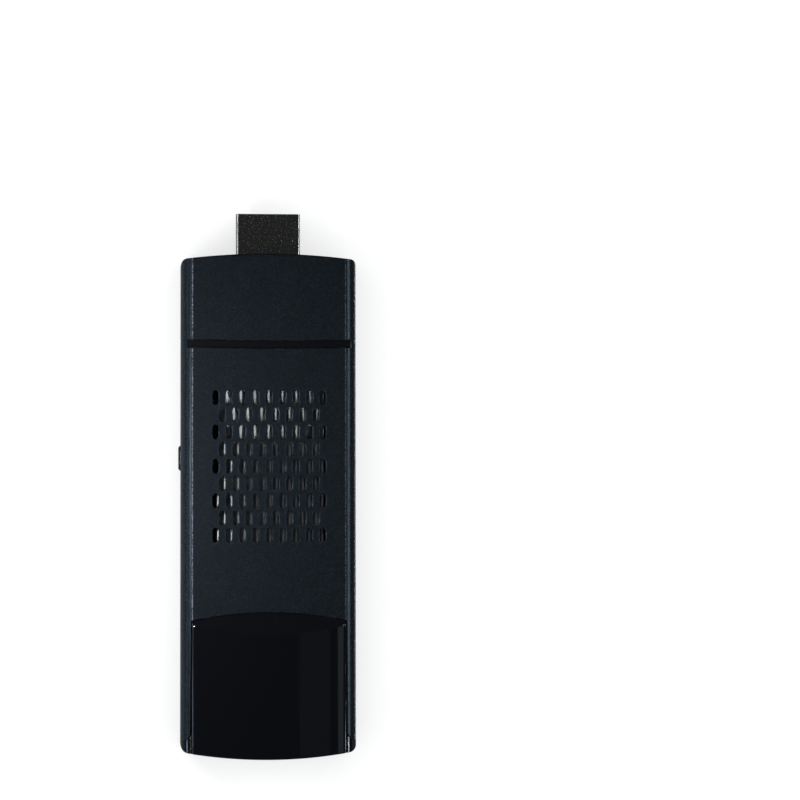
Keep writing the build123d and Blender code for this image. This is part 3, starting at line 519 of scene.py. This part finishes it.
def eased_piece(node, width, materials, weigh=sharp_edges, segments=2, cuts=(), pick=None):
    """Copy of a CAD node with rounded edges

    Its first material is its own, the second that of its rounded edges and the third that of the faces
    that pick names.
    """
    points, faces = whole_faces(node, cuts)
    mesh = bpy.data.meshes.new(node + "_dressed")
    mesh.from_pydata(points, [], faces)
    for material in materials:
        mesh.materials.append(material)
    shape = bmesh.new()
    shape.from_mesh(mesh)
    weights = shape.edges.layers.float.new("bevel_weight_edge")
    for edge in shape.edges:
        angle = edge.calc_face_angle(0) if len(edge.link_faces) == 2 else 0
        edge.smooth = angle < SMOOTH_TURN
        edge[weights] = weigh(edge, angle)
    for face in shape.faces:
        face.smooth = True
        if pick and pick(face):
            face.material_index = 2
    shape.to_mesh(mesh)
    shape.free()
    piece = shown(node + "_dressed", mesh)
    bevel = piece.modifiers.new("Eased edges", "BEVEL")
    bevel.width = width
    bevel.segments = segments
    bevel.limit_method = "WEIGHT"
    bevel.use_clamp_overlap = False
    bevel.material = 1 if len(materials) > 1 else -1
    flat = piece.modifiers.new("Flat faces", "WEIGHTED_NORMAL")
    flat.keep_sharp = True
    settle(made_plain(piece), node)


def on_case(point):
    """True for a point on the case's outer section"""
    side, height = abs(point.x), point.z
    if height > THICKNESS / 2:
        height = THICKNESS - height
    if side < FACE_EDGE + NEAR_CASE:
        return abs(height) < NEAR_CASE
    if height > SHOULDER_DEPTH:
        return abs(side - HALF_WIDTH) < NEAR_CASE
    axis = HALF_WIDTH - SHOULDER_RADIUS
    return abs(math.hypot(side - axis, height - SHOULDER_DEPTH) - SHOULDER_RADIUS) < NEAR_CASE


def case_edges(edge, angle):
    """Rounding on slot rims and seams of the case's outside, short of the moulded end rims"""
    ends = [vertex.co for vertex in edge.verts]
    if not all(on_case(point) and abs(point.y) < END_RIMS for point in ends):
        return 0.0
    return sharp_edges(edge, angle)


def groove_floor(face):
    """True for the floor of the groove between body and collar"""
    level = face.calc_center_median().z
    off = min(abs(level - GROOVE_DEPTH), abs(level - THICKNESS + GROOVE_DEPTH))
    lies_flat = abs(face.normal.z) > 0.99
    return lies_flat and off < NEAR_FLOOR


def group_inputs(tree, *named):
    """Inputs of a node group: its points and then one socket for each name, kind and default"""
    tree.interface.new_socket("Geometry", in_out="INPUT", socket_type="NodeSocketGeometry")
    tree.interface.new_socket("Geometry", in_out="OUTPUT", socket_type="NodeSocketGeometry")
    for name, kind, value in named:
        socket = tree.interface.new_socket(name, in_out="INPUT", socket_type="NodeSocket" + kind)
        if value is not None:
            socket.default_value = value
    return tree.nodes.new("NodeGroupInput")


def group_end(tree, points, instance, material):
    """Instances on the points, realised and given their finish"""
    placed = add(tree, "GeometryNodeInstanceOnPoints", {"Points": points, "Instance": instance})
    whole = add(tree, "GeometryNodeRealizeInstances", {"Geometry": placed.outputs[0]})
    done = add(tree, "GeometryNodeSetMaterial", {"Geometry": whole.outputs[0], "Material": material})
    out = tree.nodes.new("NodeGroupOutput")
    tree.links.new(done.outputs[0], out.inputs[0])


def screw_tree():
    """Node group that puts a pan head with a cross recess, and its shank, on each point"""
    tree = bpy.data.node_groups.new("Cross-head screws", "GeometryNodeTree")
    source = group_inputs(tree, ("Head Radius", "Float", 1.5 * MM), ("Head Height", "Float", 0.8 * MM),
                          ("Taper", "Float", 0.78), ("Flats", "Int", 32),
                          ("Cross Width", "Float", 0.3 * MM), ("Cross Length", "Float", 2 * MM),
                          ("Cross Depth", "Float", 0.5 * MM), ("Shank Radius", "Float", 0.7 * MM),
                          ("Shank Length", "Float", 4 * MM), ("Material", "Material", None))
    sockets = source.outputs
    half = sums(tree, "MULTIPLY", sockets["Head Height"], 0.5)
    values = {"Vertices": sockets["Flats"], "Side Segments": 2, "Radius": sockets["Head Radius"],
              "Depth": sockets["Head Height"]}
    head = add(tree, "GeometryNodeMeshCylinder", values)
    values = {"Geometry": head.outputs["Mesh"], "Selection": head.outputs["Top"], "Scale": sockets["Taper"]}
    pan = add(tree, "GeometryNodeScaleElements", values)
    lift = vector(tree, Z=half)
    raised = add(tree, "GeometryNodeTransform", {"Geometry": pan.outputs[0], "Translation": lift})
    deep = sums(tree, "MULTIPLY", sockets["Cross Depth"], 2.0)
    top = vector(tree, Z=sockets["Head Height"])
    arms = []
    for first, second in (("Cross Width", "Cross Length"), ("Cross Length", "Cross Width")):
        size = vector(tree, X=sockets[first], Y=sockets[second], Z=deep)
        arm = add(tree, "GeometryNodeMeshCube", {"Size": size})
        arms.append(add(tree, "GeometryNodeTransform", {"Geometry": arm.outputs[0], "Translation": top}))
    cut = add(tree, "GeometryNodeMeshBoolean", {"Mesh 1": raised.outputs[0]}, operation="DIFFERENCE")
    for arm in arms:
        tree.links.new(arm.outputs[0], cut.inputs["Mesh 2"])
    values = {"Vertices": 24, "Radius": sockets["Shank Radius"], "Depth": sockets["Shank Length"]}
    shank = add(tree, "GeometryNodeMeshCylinder", values)
    drop = vector(tree, Z=sums(tree, "MULTIPLY", sockets["Shank Length"], -0.5))
    sunk = add(tree, "GeometryNodeTransform", {"Geometry": shank.outputs[0], "Translation": drop})
    joined = add(tree, "GeometryNodeJoinGeometry")
    tree.links.new(cut.outputs[0], joined.inputs[0])
    tree.links.new(sunk.outputs[0], joined.inputs[0])
    group_end(tree, sockets["Geometry"], joined.outputs[0], sockets["Material"])
    return tree


def block_tree():
    """Node group that puts a block of one size on each point"""
    tree = bpy.data.node_groups.new("Blocks on points", "GeometryNodeTree")
    source = group_inputs(tree, ("Width", "Float", 1 * MM), ("Length", "Float", 0.5 * MM),
                          ("Height", "Float", 0.5 * MM), ("Material", "Material", None))
    sockets = source.outputs
    size = vector(tree, X=sockets["Width"], Y=sockets["Length"], Z=sockets["Height"])
    block = add(tree, "GeometryNodeMeshCube", {"Size": size})
    group_end(tree, sockets["Geometry"], block.outputs[0], sockets["Material"])
    return tree


def bead_tree():
    """Node group that puts a flattened solder bead on each point"""
    tree = bpy.data.node_groups.new("Solder beads", "GeometryNodeTree")
    source = group_inputs(tree, ("Radius", "Float", 0.4 * MM), ("Flatness", "Float", 0.6),
                          ("Material", "Material", None))
    sockets = source.outputs
    ball = add(tree, "GeometryNodeMeshUVSphere", {"Segments": 14, "Rings": 8, "Radius": sockets["Radius"]})
    size = vector(tree, X=1.0, Y=1.0, Z=sockets["Flatness"])
    flat = add(tree, "GeometryNodeTransform", {"Geometry": ball.outputs[0], "Scale": size})
    smooth = add(tree, "GeometryNodeSetShadeSmooth", {"Geometry": flat.outputs[0]})
    group_end(tree, sockets["Geometry"], smooth.outputs[0], sockets["Material"])
    return tree


def repeated(name, places, tree, values, ease=0.0):
    """Piece that repeats a node group's shape on points, as plain mesh"""
    mesh = bpy.data.meshes.new(name + "_points")
    mesh.from_pydata([tuple(place) for place in places], [], [])
    piece = shown(name, mesh)
    modifier = piece.modifiers.new(tree.name, "NODES")
    modifier.node_group = tree
    sockets = {item.name: item.identifier for item in tree.interface.items_tree if item.in_out == "INPUT"}
    for label, value in values.items():
        modifier[sockets[label]] = value
    if ease:
        bevel = piece.modifiers.new("Eased edges", "BEVEL")
        bevel.width = ease
        bevel.segments = 2
        bevel.angle_limit = BLOCK_TURN
    return made_plain(piece)


class STICK_OT_shells(Operator):
    """Shells and collar in spark-textured plastic, with eased slots and seams"""
    bl_idname = "stick.shells"
    bl_label = "Shells and collar"

    def execute(self, context):
        own = settings("shell")
        # The second finish, on the eased slot rims and seams, is the same plastic painted three times
        # lighter: a painted highlight of the rounded rims
        finishes = (spark_plastic(), spark_plastic("Painted rim highlight plastic", smooth=0.7, light=3.0),
                    moulded("Groove plastic", (0.0014, 0.0021, 0.0031), 0.36, light=1.3,
                            Specular_IOR_Level=0.26))
        for node, places in FACE_CUTS.items():
            eased_piece(node, own.rim, finishes, case_edges, cuts=places, pick=groove_floor)
        return {"FINISHED"}


# The hump's edges nearer the tail than this keep the source's own chamfer
HUMP_TAIL = 2.6 * MM

# How high above the front face the hump's own edges begin
HUMP_FOOT = 0.2 * MM

# Part of each shoulder, from the side wall in, on which the cap's seam is eased, and how much
SEAM_REACH = 0.9 * SHOULDER_WIDTH
SEAM_SHARE = 0.4


class STICK_OT_cap(Operator):
    """Tail cap in polished plastic, with smooth crown, facet and rims"""
    bl_idname = "stick.cap"
    bl_label = "Tail cap"

    def execute(self, context):
        own = settings("cap")
        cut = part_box("tail_cap")[0].y + HUMP_TAIL
        past_cut = cut - 0.01 * MM

        def nose_edges(edge, angle):
            """Full rounding on the hump's edges, and less on the cap's seam"""
            ends = [vertex.co for vertex in edge.verts]
            high = all(point.z > THICKNESS + HUMP_FOOT and point.y > past_cut for point in ends)
            outside = all(abs(point.x) > HALF_WIDTH - SEAM_REACH for point in ends)
            if outside and all(on_case(point) for point in ends):
                return SEAM_SHARE * sharp_edges(edge, angle)
            return sharp_edges(edge, angle) if high else 0.0

        eased_piece("tail_cap", own.rim, (polished_plastic(),), nose_edges, segments=3,
                    cuts=(cut,))
        return {"FINISHED"}


class STICK_OT_button(Operator):
    """Power button with the side switch behind it"""
    bl_idname = "stick.button"
    bl_label = "Power button and switch"

    def execute(self, context):
        own = settings("metal")
        # The button's eased edges take a copy painted 1.9 times lighter: a painted highlight of its rounded
        # edges
        finishes = (spark_plastic("Button plastic", smooth=0.7),
                    spark_plastic("Painted rim highlight button", smooth=0.55, light=1.9))
        eased_piece("power_button_cap", settings("edges").button, finishes)
        dress(moulded("Switch plastic", (0.05, 0.05, 0.055), 0.45), "switch_body", "switch_plunger")
        dress(metal("Switch cover steel", own.steel, 0.28, stretch=(1, 0.1, 1)), "switch_cover")
        return {"FINISHED"}


class STICK_OT_plug(Operator):
    """Folded plug shell in satin nickel, its moulded block and gold contacts"""
    bl_idname = "stick.plug"
    bl_label = "Plug"

    def execute(self, context):
        own = settings("metal")
        bright = metal("Bright nickel edge", (0.78, 0.74, 0.64), 0.16, grain=2600, stain=0.85)
        eased_piece("hdmi_plug_shell", settings("edges").sheet, (satin_nickel(), bright))
        dress(moulded("Plug block", (0.015, 0.015, 0.017), 0.4), "hdmi_insulator")
        dress(metal("Gold flash", own.gold, 0.22, stretch=(1, 0.1, 1), stain=0.85), "hdmi_contacts")
        return {"FINISHED"}


class STICK_OT_ports(Operator):
    """Tail port, power inlet and card socket: tinned shells, tongues and contacts"""
    bl_idname = "stick.ports"
    bl_label = "Ports"

    def execute(self, context):
        own = settings("metal")
        steel = metal("Tinned steel", own.steel, 0.3, stretch=(1, 0.1, 1), stain=0.7)
        bright = metal("Bright steel edge", (0.76, 0.76, 0.74), 0.18, stain=0.85)
        for node in ("usb_shell", "micro_usb_shell", "card_socket_cover"):
            eased_piece(node, settings("edges").sheet, (steel, bright))
        black = moulded("Port plastic", (0.016, 0.016, 0.018), 0.42)
        dress(black, "usb_tongue", "micro_usb_tongue", "card_socket_base")
        gold = metal("Contact gold", own.gold, 0.25, stretch=(1, 0.1, 1), stain=0.85)
        dress(gold, "usb_contacts", "micro_usb_contacts", "card_socket_contacts")
        return {"FINISHED"}


class STICK_OT_heat_sink(Operator):
    """Heat sink with milled fins, and the pad and processor under it"""
    bl_idname = "stick.heat_sink"
    bl_label = "Heat sink and processor"

    def execute(self, context):
        own = settings("metal")
        milled = metal("Milled aluminium", own.sink, 0.6, grain=2400, stretch=(1, 0.06, 1), depth=0.03 * MM,
                       stain=0.85)
        bright = metal("Bright aluminium edge", (0.88, 0.88, 0.88), 0.3, grain=2400, stain=0.9)
        eased_piece("heat_sink", settings("edges").sink, (milled, bright), segments=1)
        dress(moulded("Soft pad", (0.32, 0.38, 0.44), 0.75, grain=2500, light=1.2), "thermal_pad")
        dress(moulded("Laminate", (0.02, 0.05, 0.028), 0.4, grain=2500), "processor_substrate")
        silicon = moulded("Silicon", (0.12, 0.12, 0.14), 0.12, grain=800, depth=0.003 * MM, light=1.15)
        dress(silicon, "processor_die")
        return {"FINISHED"}


# Height of a heat sink screw's head, and width of a shank against its head
SINK_HEAD_HEIGHT = 0.8 * MM
SHANK_SHARE = 0.48


class STICK_OT_screws(Operator):
    """Cross-head screws of the board and of the heat sink"""
    bl_idname = "stick.screws"
    bl_label = "Screws"

    def execute(self, context):
        own = settings("screws")
        tree = screw_tree()
        steel = metal("Zinc-plated steel", (0.50, 0.50, 0.49), 0.32, grain=5000, stain=0.7)
        board_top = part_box("main_board")[1].z
        sink_top = max(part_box("sink_screws")[1].z - SINK_HEAD_HEIGHT, board_top)
        for node, level in (("board_screws", board_top), ("sink_screws", sink_top)):
            boxes = islands(node)
            radius = (boxes[0][1].x - boxes[0][0].x) / 2
            places = [(middle(box).x, middle(box).y, level) for box in boxes]
            values = {"Head Radius": radius, "Head Height": boxes[0][1].z - level, "Taper": own.taper,
                      "Flats": own.flats, "Cross Width": own.slot_width, "Cross Depth": own.slot_depth,
                      "Cross Length": 2 * radius * own.slot_share, "Shank Radius": radius * SHANK_SHARE,
                      "Shank Length": level - boxes[0][0].z, "Material": steel}
            settle(repeated(node + "_dressed", places, tree, values), node)
        return {"FINISHED"}


# Solder beads under the board: at the tail port's contacts, at the legs of its shell, and in two rows
# that show through the back's lower grille, each given by the place of its first bead
BEAD_RADIUS = 0.42 * MM
BEAD_FLATNESS = 0.6
PORT_CONTACTS = 4
PORT_CONTACT_PITCH = 2.3 * MM
PORT_CONTACT_GAP = 0.5 * MM
PORT_LEG_INSET = 2.75 * MM
BEAD_ROWS = ((-1.5 * MM, -33.2 * MM), (-0.9 * MM, -36.6 * MM))
BEADS_IN_ROW = 8
BEAD_PITCH = 1.25 * MM


class STICK_OT_board(Operator):
    """Board with tracks under its mask, and solder beads at the legs that pass through it"""
    bl_idname = "stick.board"
    bl_label = "Main board"

    def execute(self, context):
        dress(solder_mask(), "main_board", "wireless_board")
        tin = metal("Solder", (0.72, 0.71, 0.68), 0.2, grain=2000, depth=0.04 * MM, stain=0.85)
        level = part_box("main_board")[0].z
        port_low, port_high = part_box("usb_shell")
        beads = []
        for step in range(PORT_CONTACTS):
            x = (step - (PORT_CONTACTS - 1) / 2) * PORT_CONTACT_PITCH
            beads.append((x, port_high.y + PORT_CONTACT_GAP, level))
        for side in (port_low.x, port_high.x):
            for y in (port_low.y + PORT_LEG_INSET, port_high.y - PORT_LEG_INSET):
                beads.append((side, y, level))
        for step in range(BEADS_IN_ROW):
            for first, y in BEAD_ROWS:
                beads.append((first + step * BEAD_PITCH, y, level))
        values = {"Radius": BEAD_RADIUS, "Flatness": BEAD_FLATNESS, "Material": tin}
        settle(repeated("solder_beads_back", beads, bead_tree(), values), "main_board", False)
        return {"FINISHED"}


# Tin pads along the sides of two packages
PADS_IN_SIDE = 7
PAD_PITCH = 0.65 * MM
PAD_WIDTH = 0.3 * MM
PAD_HEIGHT = 0.1 * MM


class STICK_OT_packages(Operator):
    """Chip packages with eased edges, and tinned pads along the sides of two of them"""
    bl_idname = "stick.packages"
    bl_label = "Chips"

    def execute(self, context):
        edges = settings("edges")
        black = moulded("Chip moulding", (0.016, 0.016, 0.018), 0.55, grain=5000, depth=0.02 * MM, light=2.2)
        names = ["memory_chip_1", "memory_chip_2", "memory_chip_3", "memory_chip_4", "flash_chip",
                 "power_controller", "hdmi_redriver"]
        for node in names:
            eased_piece(node, edges.chip, (black,))
        tin = metal("Pad tin", (0.70, 0.69, 0.66), 0.3, grain=2000)
        pads = []
        for node in ("power_controller", "hdmi_redriver"):
            low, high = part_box(node)
            centre = middle((low, high))
            level = low.z + PAD_HEIGHT / 2
            for step in range(PADS_IN_SIDE):
                shift = (step - (PADS_IN_SIDE - 1) / 2) * PAD_PITCH
                for side in (-1, 1):
                    pads.append((centre.x + shift, centre.y + side * (high.y - centre.y), level))
                    pads.append((centre.x + side * (high.x - centre.x), centre.y + shift, level))
        values = {"Width": PAD_WIDTH, "Length": PAD_WIDTH, "Height": PAD_HEIGHT, "Material": tin}
        piece = repeated("package_pads", pads, block_tree(), values, edges.pad)
        settle(piece, "power_controller", False)
        return {"FINISHED"}


# Each tinned end against a small capacitor's length, and its fired body against its width and height
END_SHARE = 0.24
BODY_SHARE = 0.94


class STICK_OT_small_parts(Operator):
    """Ceramic capacitors with tinned ends, coils, crystals, the orange capacitor and the lamp"""
    bl_idname = "stick.small_parts"
    bl_label = "Small parts"

    def execute(self, context):
        edges = settings("edges")
        tree = block_tree()
        tin = metal("Tinned ends", (0.72, 0.71, 0.68), 0.26)
        ceramic = moulded("Fired ceramic", (0.30, 0.20, 0.12), 0.45, grain=3500, light=1.4)
        for node in ("capacitors_front", "capacitors_back"):
            boxes = islands(node)
            size = boxes[0][1] - boxes[0][0]
            end = size.x * END_SHARE
            places = [middle(box) for box in boxes]
            values = {"Width": size.x - 2 * end, "Length": size.y * BODY_SHARE,
                      "Height": size.z * BODY_SHARE, "Material": ceramic}
            piece = repeated(node + "_dressed", places, tree, values, edges.ceramic)
            settle(piece, node)
            ends = [place + Vector((side * (size.x - end) / 2, 0, 0))
                    for place in places for side in (-1, 1)]
            values = {"Width": end, "Length": size.y, "Height": size.z, "Material": tin}
            settle(repeated(node + "_ends", ends, tree, values, edges.tinned), node, False)
        ferrite = moulded("Pressed ferrite", (0.24, 0.24, 0.25), 0.6, grain=2800, depth=0.03 * MM, light=1.3)
        eased_piece("inductors", edges.coil, (ferrite,))
        can = metal("Crystal can", (0.74, 0.74, 0.72), 0.2)
        eased_piece("crystals", edges.crystal, (can,))
        eased_piece("tantalum_capacitor", edges.tantalum, (banded_tantalum(),))
        dress(moulded("Clear resin", (0.80, 0.79, 0.72), 0.12, grain=1500, light=1.1), "status_led")
        return {"FINISHED"}


class STICK_OT_radio(Operator):
    """Wireless module's can and the stamped antenna"""
    bl_idname = "stick.radio"
    bl_label = "Radio"

    def execute(self, context):
        edges = settings("edges")
        tinned = metal("Tin plate", (0.66, 0.66, 0.63), 0.27, grain=2000, stretch=(1, 0.12, 1))
        eased_piece("wireless_shield", edges.shield, (tinned,))
        steel = metal("Antenna steel", (0.70, 0.66, 0.56), 0.25, grain=2500, stretch=(1, 0.1, 1))
        eased_piece("antenna", edges.sheet, (steel,))
        return {"FINISHED"}


# Shares of its colour that the floor shows in reflections and to the camera, beside its own glow
FLOOR_IN_GLOSS = 0.25
FLOOR_SEEN = 0.14

# Painted shadow: share of open sky at which the floor's glow is darkened most, and that weakest glow
DEEPEST_SHADE = 0.3
WEAKEST_GLOW = 0.72


def floor_finish(own):
    """Pale floor whose soft shadow is mostly painted, its glow darkened by ambient occlusion near the stick,
    beside a faint real shadow in its matt part, and which lets light and sight through from below
    """
    material = bpy.data.materials.new("Pale floor")
    material.use_nodes = True
    tree = material.node_tree
    tree.nodes.clear()
    path = add(tree, "ShaderNodeLightPath").outputs
    dim = [channel * FLOOR_IN_GLOSS for channel in own.floor]
    pale = [channel * FLOOR_SEEN for channel in own.floor]
    matt = add(tree, "ShaderNodeBsdfDiffuse", {"Color": mixed(tree, path["Is Camera Ray"], dim, pale)})
    open_sky = add(tree, "ShaderNodeAmbientOcclusion", {"Distance": own.reach}).outputs["AO"]
    shade = spread(tree, open_sky, DEEPEST_SHADE, 1.0, WEAKEST_GLOW, 1.0)
    glow = sums(tree, "MULTIPLY", path["Is Camera Ray"], shade)
    bright = add(tree, "ShaderNodeEmission", {"Color": (1, 1, 1, 1), "Strength": glow})
    both = add(tree, "ShaderNodeAddShader", {0: matt.outputs[0], 1: bright.outputs[0]})
    below = add(tree, "ShaderNodeNewGeometry").outputs["Backfacing"]
    loose = sums(tree, "MAXIMUM", path["Is Diffuse Ray"], path["Is Shadow Ray"])
    clear = add(tree, "ShaderNodeBsdfTransparent")
    unseen = sums(tree, "MAXIMUM", loose, below)
    end = add(tree, "ShaderNodeMixShader", {0: unseen, 1: both.outputs[0], 2: clear.outputs[0]})
    add(tree, "ShaderNodeOutputMaterial", {"Surface": end.outputs[0]})
    return material


def studio_world():
    """World that is white to the camera, dim and cool in reflections and soft on matt surfaces"""
    world = bpy.data.worlds.new("Studio")
    world.use_nodes = True
    tree = world.node_tree
    tree.nodes.clear()
    horizon = (0.045, 0.05, 0.06)
    zenith = (0.022, 0.024, 0.028)
    around = (0.055, 0.06, 0.07)
    place = add(tree, "ShaderNodeTexCoord").outputs["Generated"]
    height = sums(tree, "ABSOLUTE", part_of(tree, place, "Z"))
    gloss = mixed(tree, spread(tree, height, 0.1, 0.9), horizon, zenith)
    path = add(tree, "ShaderNodeLightPath").outputs
    seen = mixed(tree, path["Is Glossy Ray"], around, gloss)
    sky = mixed(tree, path["Is Camera Ray"], seen, (1, 1, 1))
    back = add(tree, "ShaderNodeBackground", {"Color": sky, "Strength": 1.0})
    add(tree, "ShaderNodeOutputWorld", {"Surface": back.outputs[0]})
    bpy.context.scene.world = world


# Name, place, width, length, power and colour of each lamp
LAMPS = (
    ("Key strip", (-0.085, 0.0, 0.090), 0.010, 0.20, 0.048, (1.0, 0.99, 0.98)),
    ("Slot lamp", (-0.075, 0.0085, 0.090), 0.005, 0.030, 0.100, (0.95, 0.98, 1.0)),
    ("Low strip", (-0.17, 0.0, 0.055), 0.010, 0.30, 0.090, (0.55, 0.75, 1.0)),
    ("Fill strip", (0.22, 0.0, 0.119), 0.020, 0.40, 0.440, (0.80, 0.90, 1.0)),
    ("Soft strip", (0.131, 0.0, 0.165), 0.012, 0.30, 0.0045, (0.70, 0.85, 1.0)),
    ("Wide strip", (0.095, 0.0, 0.20), 0.060, 0.30, 0.0040, (0.60, 0.80, 1.0)),
    ("Glint lamp", (-0.114, 0.121, 0.315), 0.050, 0.035, 0.035, (1.0, 1.0, 1.0)),
    ("Under key", (0.066, 0.0, -0.078), 0.010, 0.20, 0.230, (0.94, 0.98, 1.0)),
    ("Under fill", (-0.20, 0.0, -0.13), 0.045, 0.40, 0.330, (0.80, 0.90, 1.0)),
    ("Under lamp", (0.035, 0.10, -0.47), 0.07, 0.07, 0.045, (1.0, 0.99, 0.97)),
)


def lamp(name, place, width, length, power, colour):
    """Soft lamp along the stick, aimed at its middle"""
    data = bpy.data.lights.new(name, "AREA")
    data.shape = "RECTANGLE"
    data.size = width
    data.size_y = length
    data.energy = power
    data.color = colour
    piece = bpy.data.objects.new(name, data)
    bpy.context.scene.collection.objects.link(piece)
    back = (Vector(place) - Vector((0, 0, THICKNESS / 2))).normalized()
    across = Vector((0, 1, 0)).cross(back).normalized()
    turn = Matrix((across, back.cross(across), back)).transposed()
    piece.matrix_world = Matrix.Translation(place) @ turn.to_4x4()
    piece.visible_camera = False


# Width of the camera's sensor in millimetres, and half the length on which its turn is measured
SENSOR_WIDTH = 36.0
ROLL_STEP = 0.01


def aim_camera(own):
    """Camera that shows the stick where the photograph's front view has it"""
    data = bpy.data.cameras.new("Camera")
    camera = bpy.data.objects.new("Camera", data)
    bpy.context.scene.collection.objects.link(camera)
    reach = own.pixels * own.distance
    data.sensor_width = SENSOR_WIDTH
    data.lens = reach / PHOTO_SIDE * data.sensor_width
    data.clip_start = 0.05
    data.clip_end = 20.0
    target = Vector((0, 0, THICKNESS))
    seen = Vector((math.sin(own.side), 0, -math.cos(own.side)))
    half = PHOTO_SIDE / 2
    wanted = Vector(((PHOTO_CENTRE[0] - half) / reach, (half - PHOTO_CENTRE[1]) / reach, -1)).normalized()
    turn = wanted.rotation_difference(seen)
    place = target - seen * own.distance

    def image(point, rotation):
        """Where a point stands in the picture"""
        local = rotation.inverted() @ (point - place)
        return Vector((local.x / -local.z, local.y / -local.z))

    def roll_of(rotation):
        """Angle from the picture's upright to the stick's length"""
        step = Vector((0, ROLL_STEP, 0))
        along = image(target + step, rotation) - image(target - step, rotation)
        return math.atan2(along.x, along.y)

    roll = roll_of(turn)
    turn = Quaternion(seen, roll) @ turn
    if abs(roll_of(turn)) > abs(roll):
        turn = Quaternion(seen, -2 * roll) @ turn
    camera.matrix_world = Matrix.Translation(place) @ turn.to_matrix().to_4x4()
    bpy.context.scene.camera = camera


# How far the floor reaches, and how low it lies
FLOOR_REACH = 3.0
FLOOR_LEVEL = -0.05 * MM


class STICK_OT_stage(Operator):
    """Pale floor, studio world, lamps and the camera"""
    bl_idname = "stick.stage"
    bl_label = "Stage"

    def execute(self, context):
        own = settings("stage")
        mesh = bpy.data.meshes.new("floor")
        sides = ((-1, -1), (1, -1), (1, 1), (-1, 1))
        points = [(x * FLOOR_REACH, y * FLOOR_REACH, FLOOR_LEVEL) for x, y in sides]
        mesh.from_pydata(points, [], [(0, 1, 2, 3)])
        mesh.materials.append(floor_finish(own))
        shown("floor", mesh)
        studio_world()
        for name, place, width, length, power, colour in LAMPS:
            lamp(name, place, width, length, power * own.light, colour)
        aim_camera(own)
        context.scene.view_settings.view_transform = "Standard"
        return {"FINISHED"}


class STICK_PT_dressing(Panel):
    """Pieces of the stick computer, each with its own button"""
    bl_label = "Stick computer"
    bl_space_type = "VIEW_3D"
    bl_region_type = "UI"
    bl_category = "Stick"

    def draw(self, context):
        for operator in OPERATORS:
            self.layout.operator(operator.bl_idname)


GROUPS = {"shell": ShellFinish, "cap": CapFinish, "metal": MetalFinish, "board": BoardFinish,
          "edges": EdgeSizes, "screws": ScrewSizes, "stage": StageSettings}
OPERATORS = (STICK_OT_shells, STICK_OT_cap, STICK_OT_button, STICK_OT_plug, STICK_OT_ports,
             STICK_OT_heat_sink, STICK_OT_screws, STICK_OT_board, STICK_OT_packages, STICK_OT_small_parts,
             STICK_OT_radio, STICK_OT_stage)


def register():
    """Adds the property groups, the operators and the panel"""
    for name, group in GROUPS.items():
        bpy.utils.register_class(group)
        setattr(bpy.types.Scene, "stick_" + name, PointerProperty(type=group))
    for kind in (*OPERATORS, STICK_PT_dressing):
        bpy.utils.register_class(kind)


def unregister():
    """Takes them out again in the other order"""
    for kind in (STICK_PT_dressing, *reversed(OPERATORS)):
        bpy.utils.unregister_class(kind)
    for name, group in GROUPS.items():
        delattr(bpy.types.Scene, "stick_" + name)
        bpy.utils.unregister_class(group)


def main():
    """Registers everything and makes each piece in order"""
    register()
    for operator in OPERATORS:
        group, name = operator.bl_idname.split(".")
        getattr(getattr(bpy.ops, group), name)()


if __name__ == "__main__":
    main()
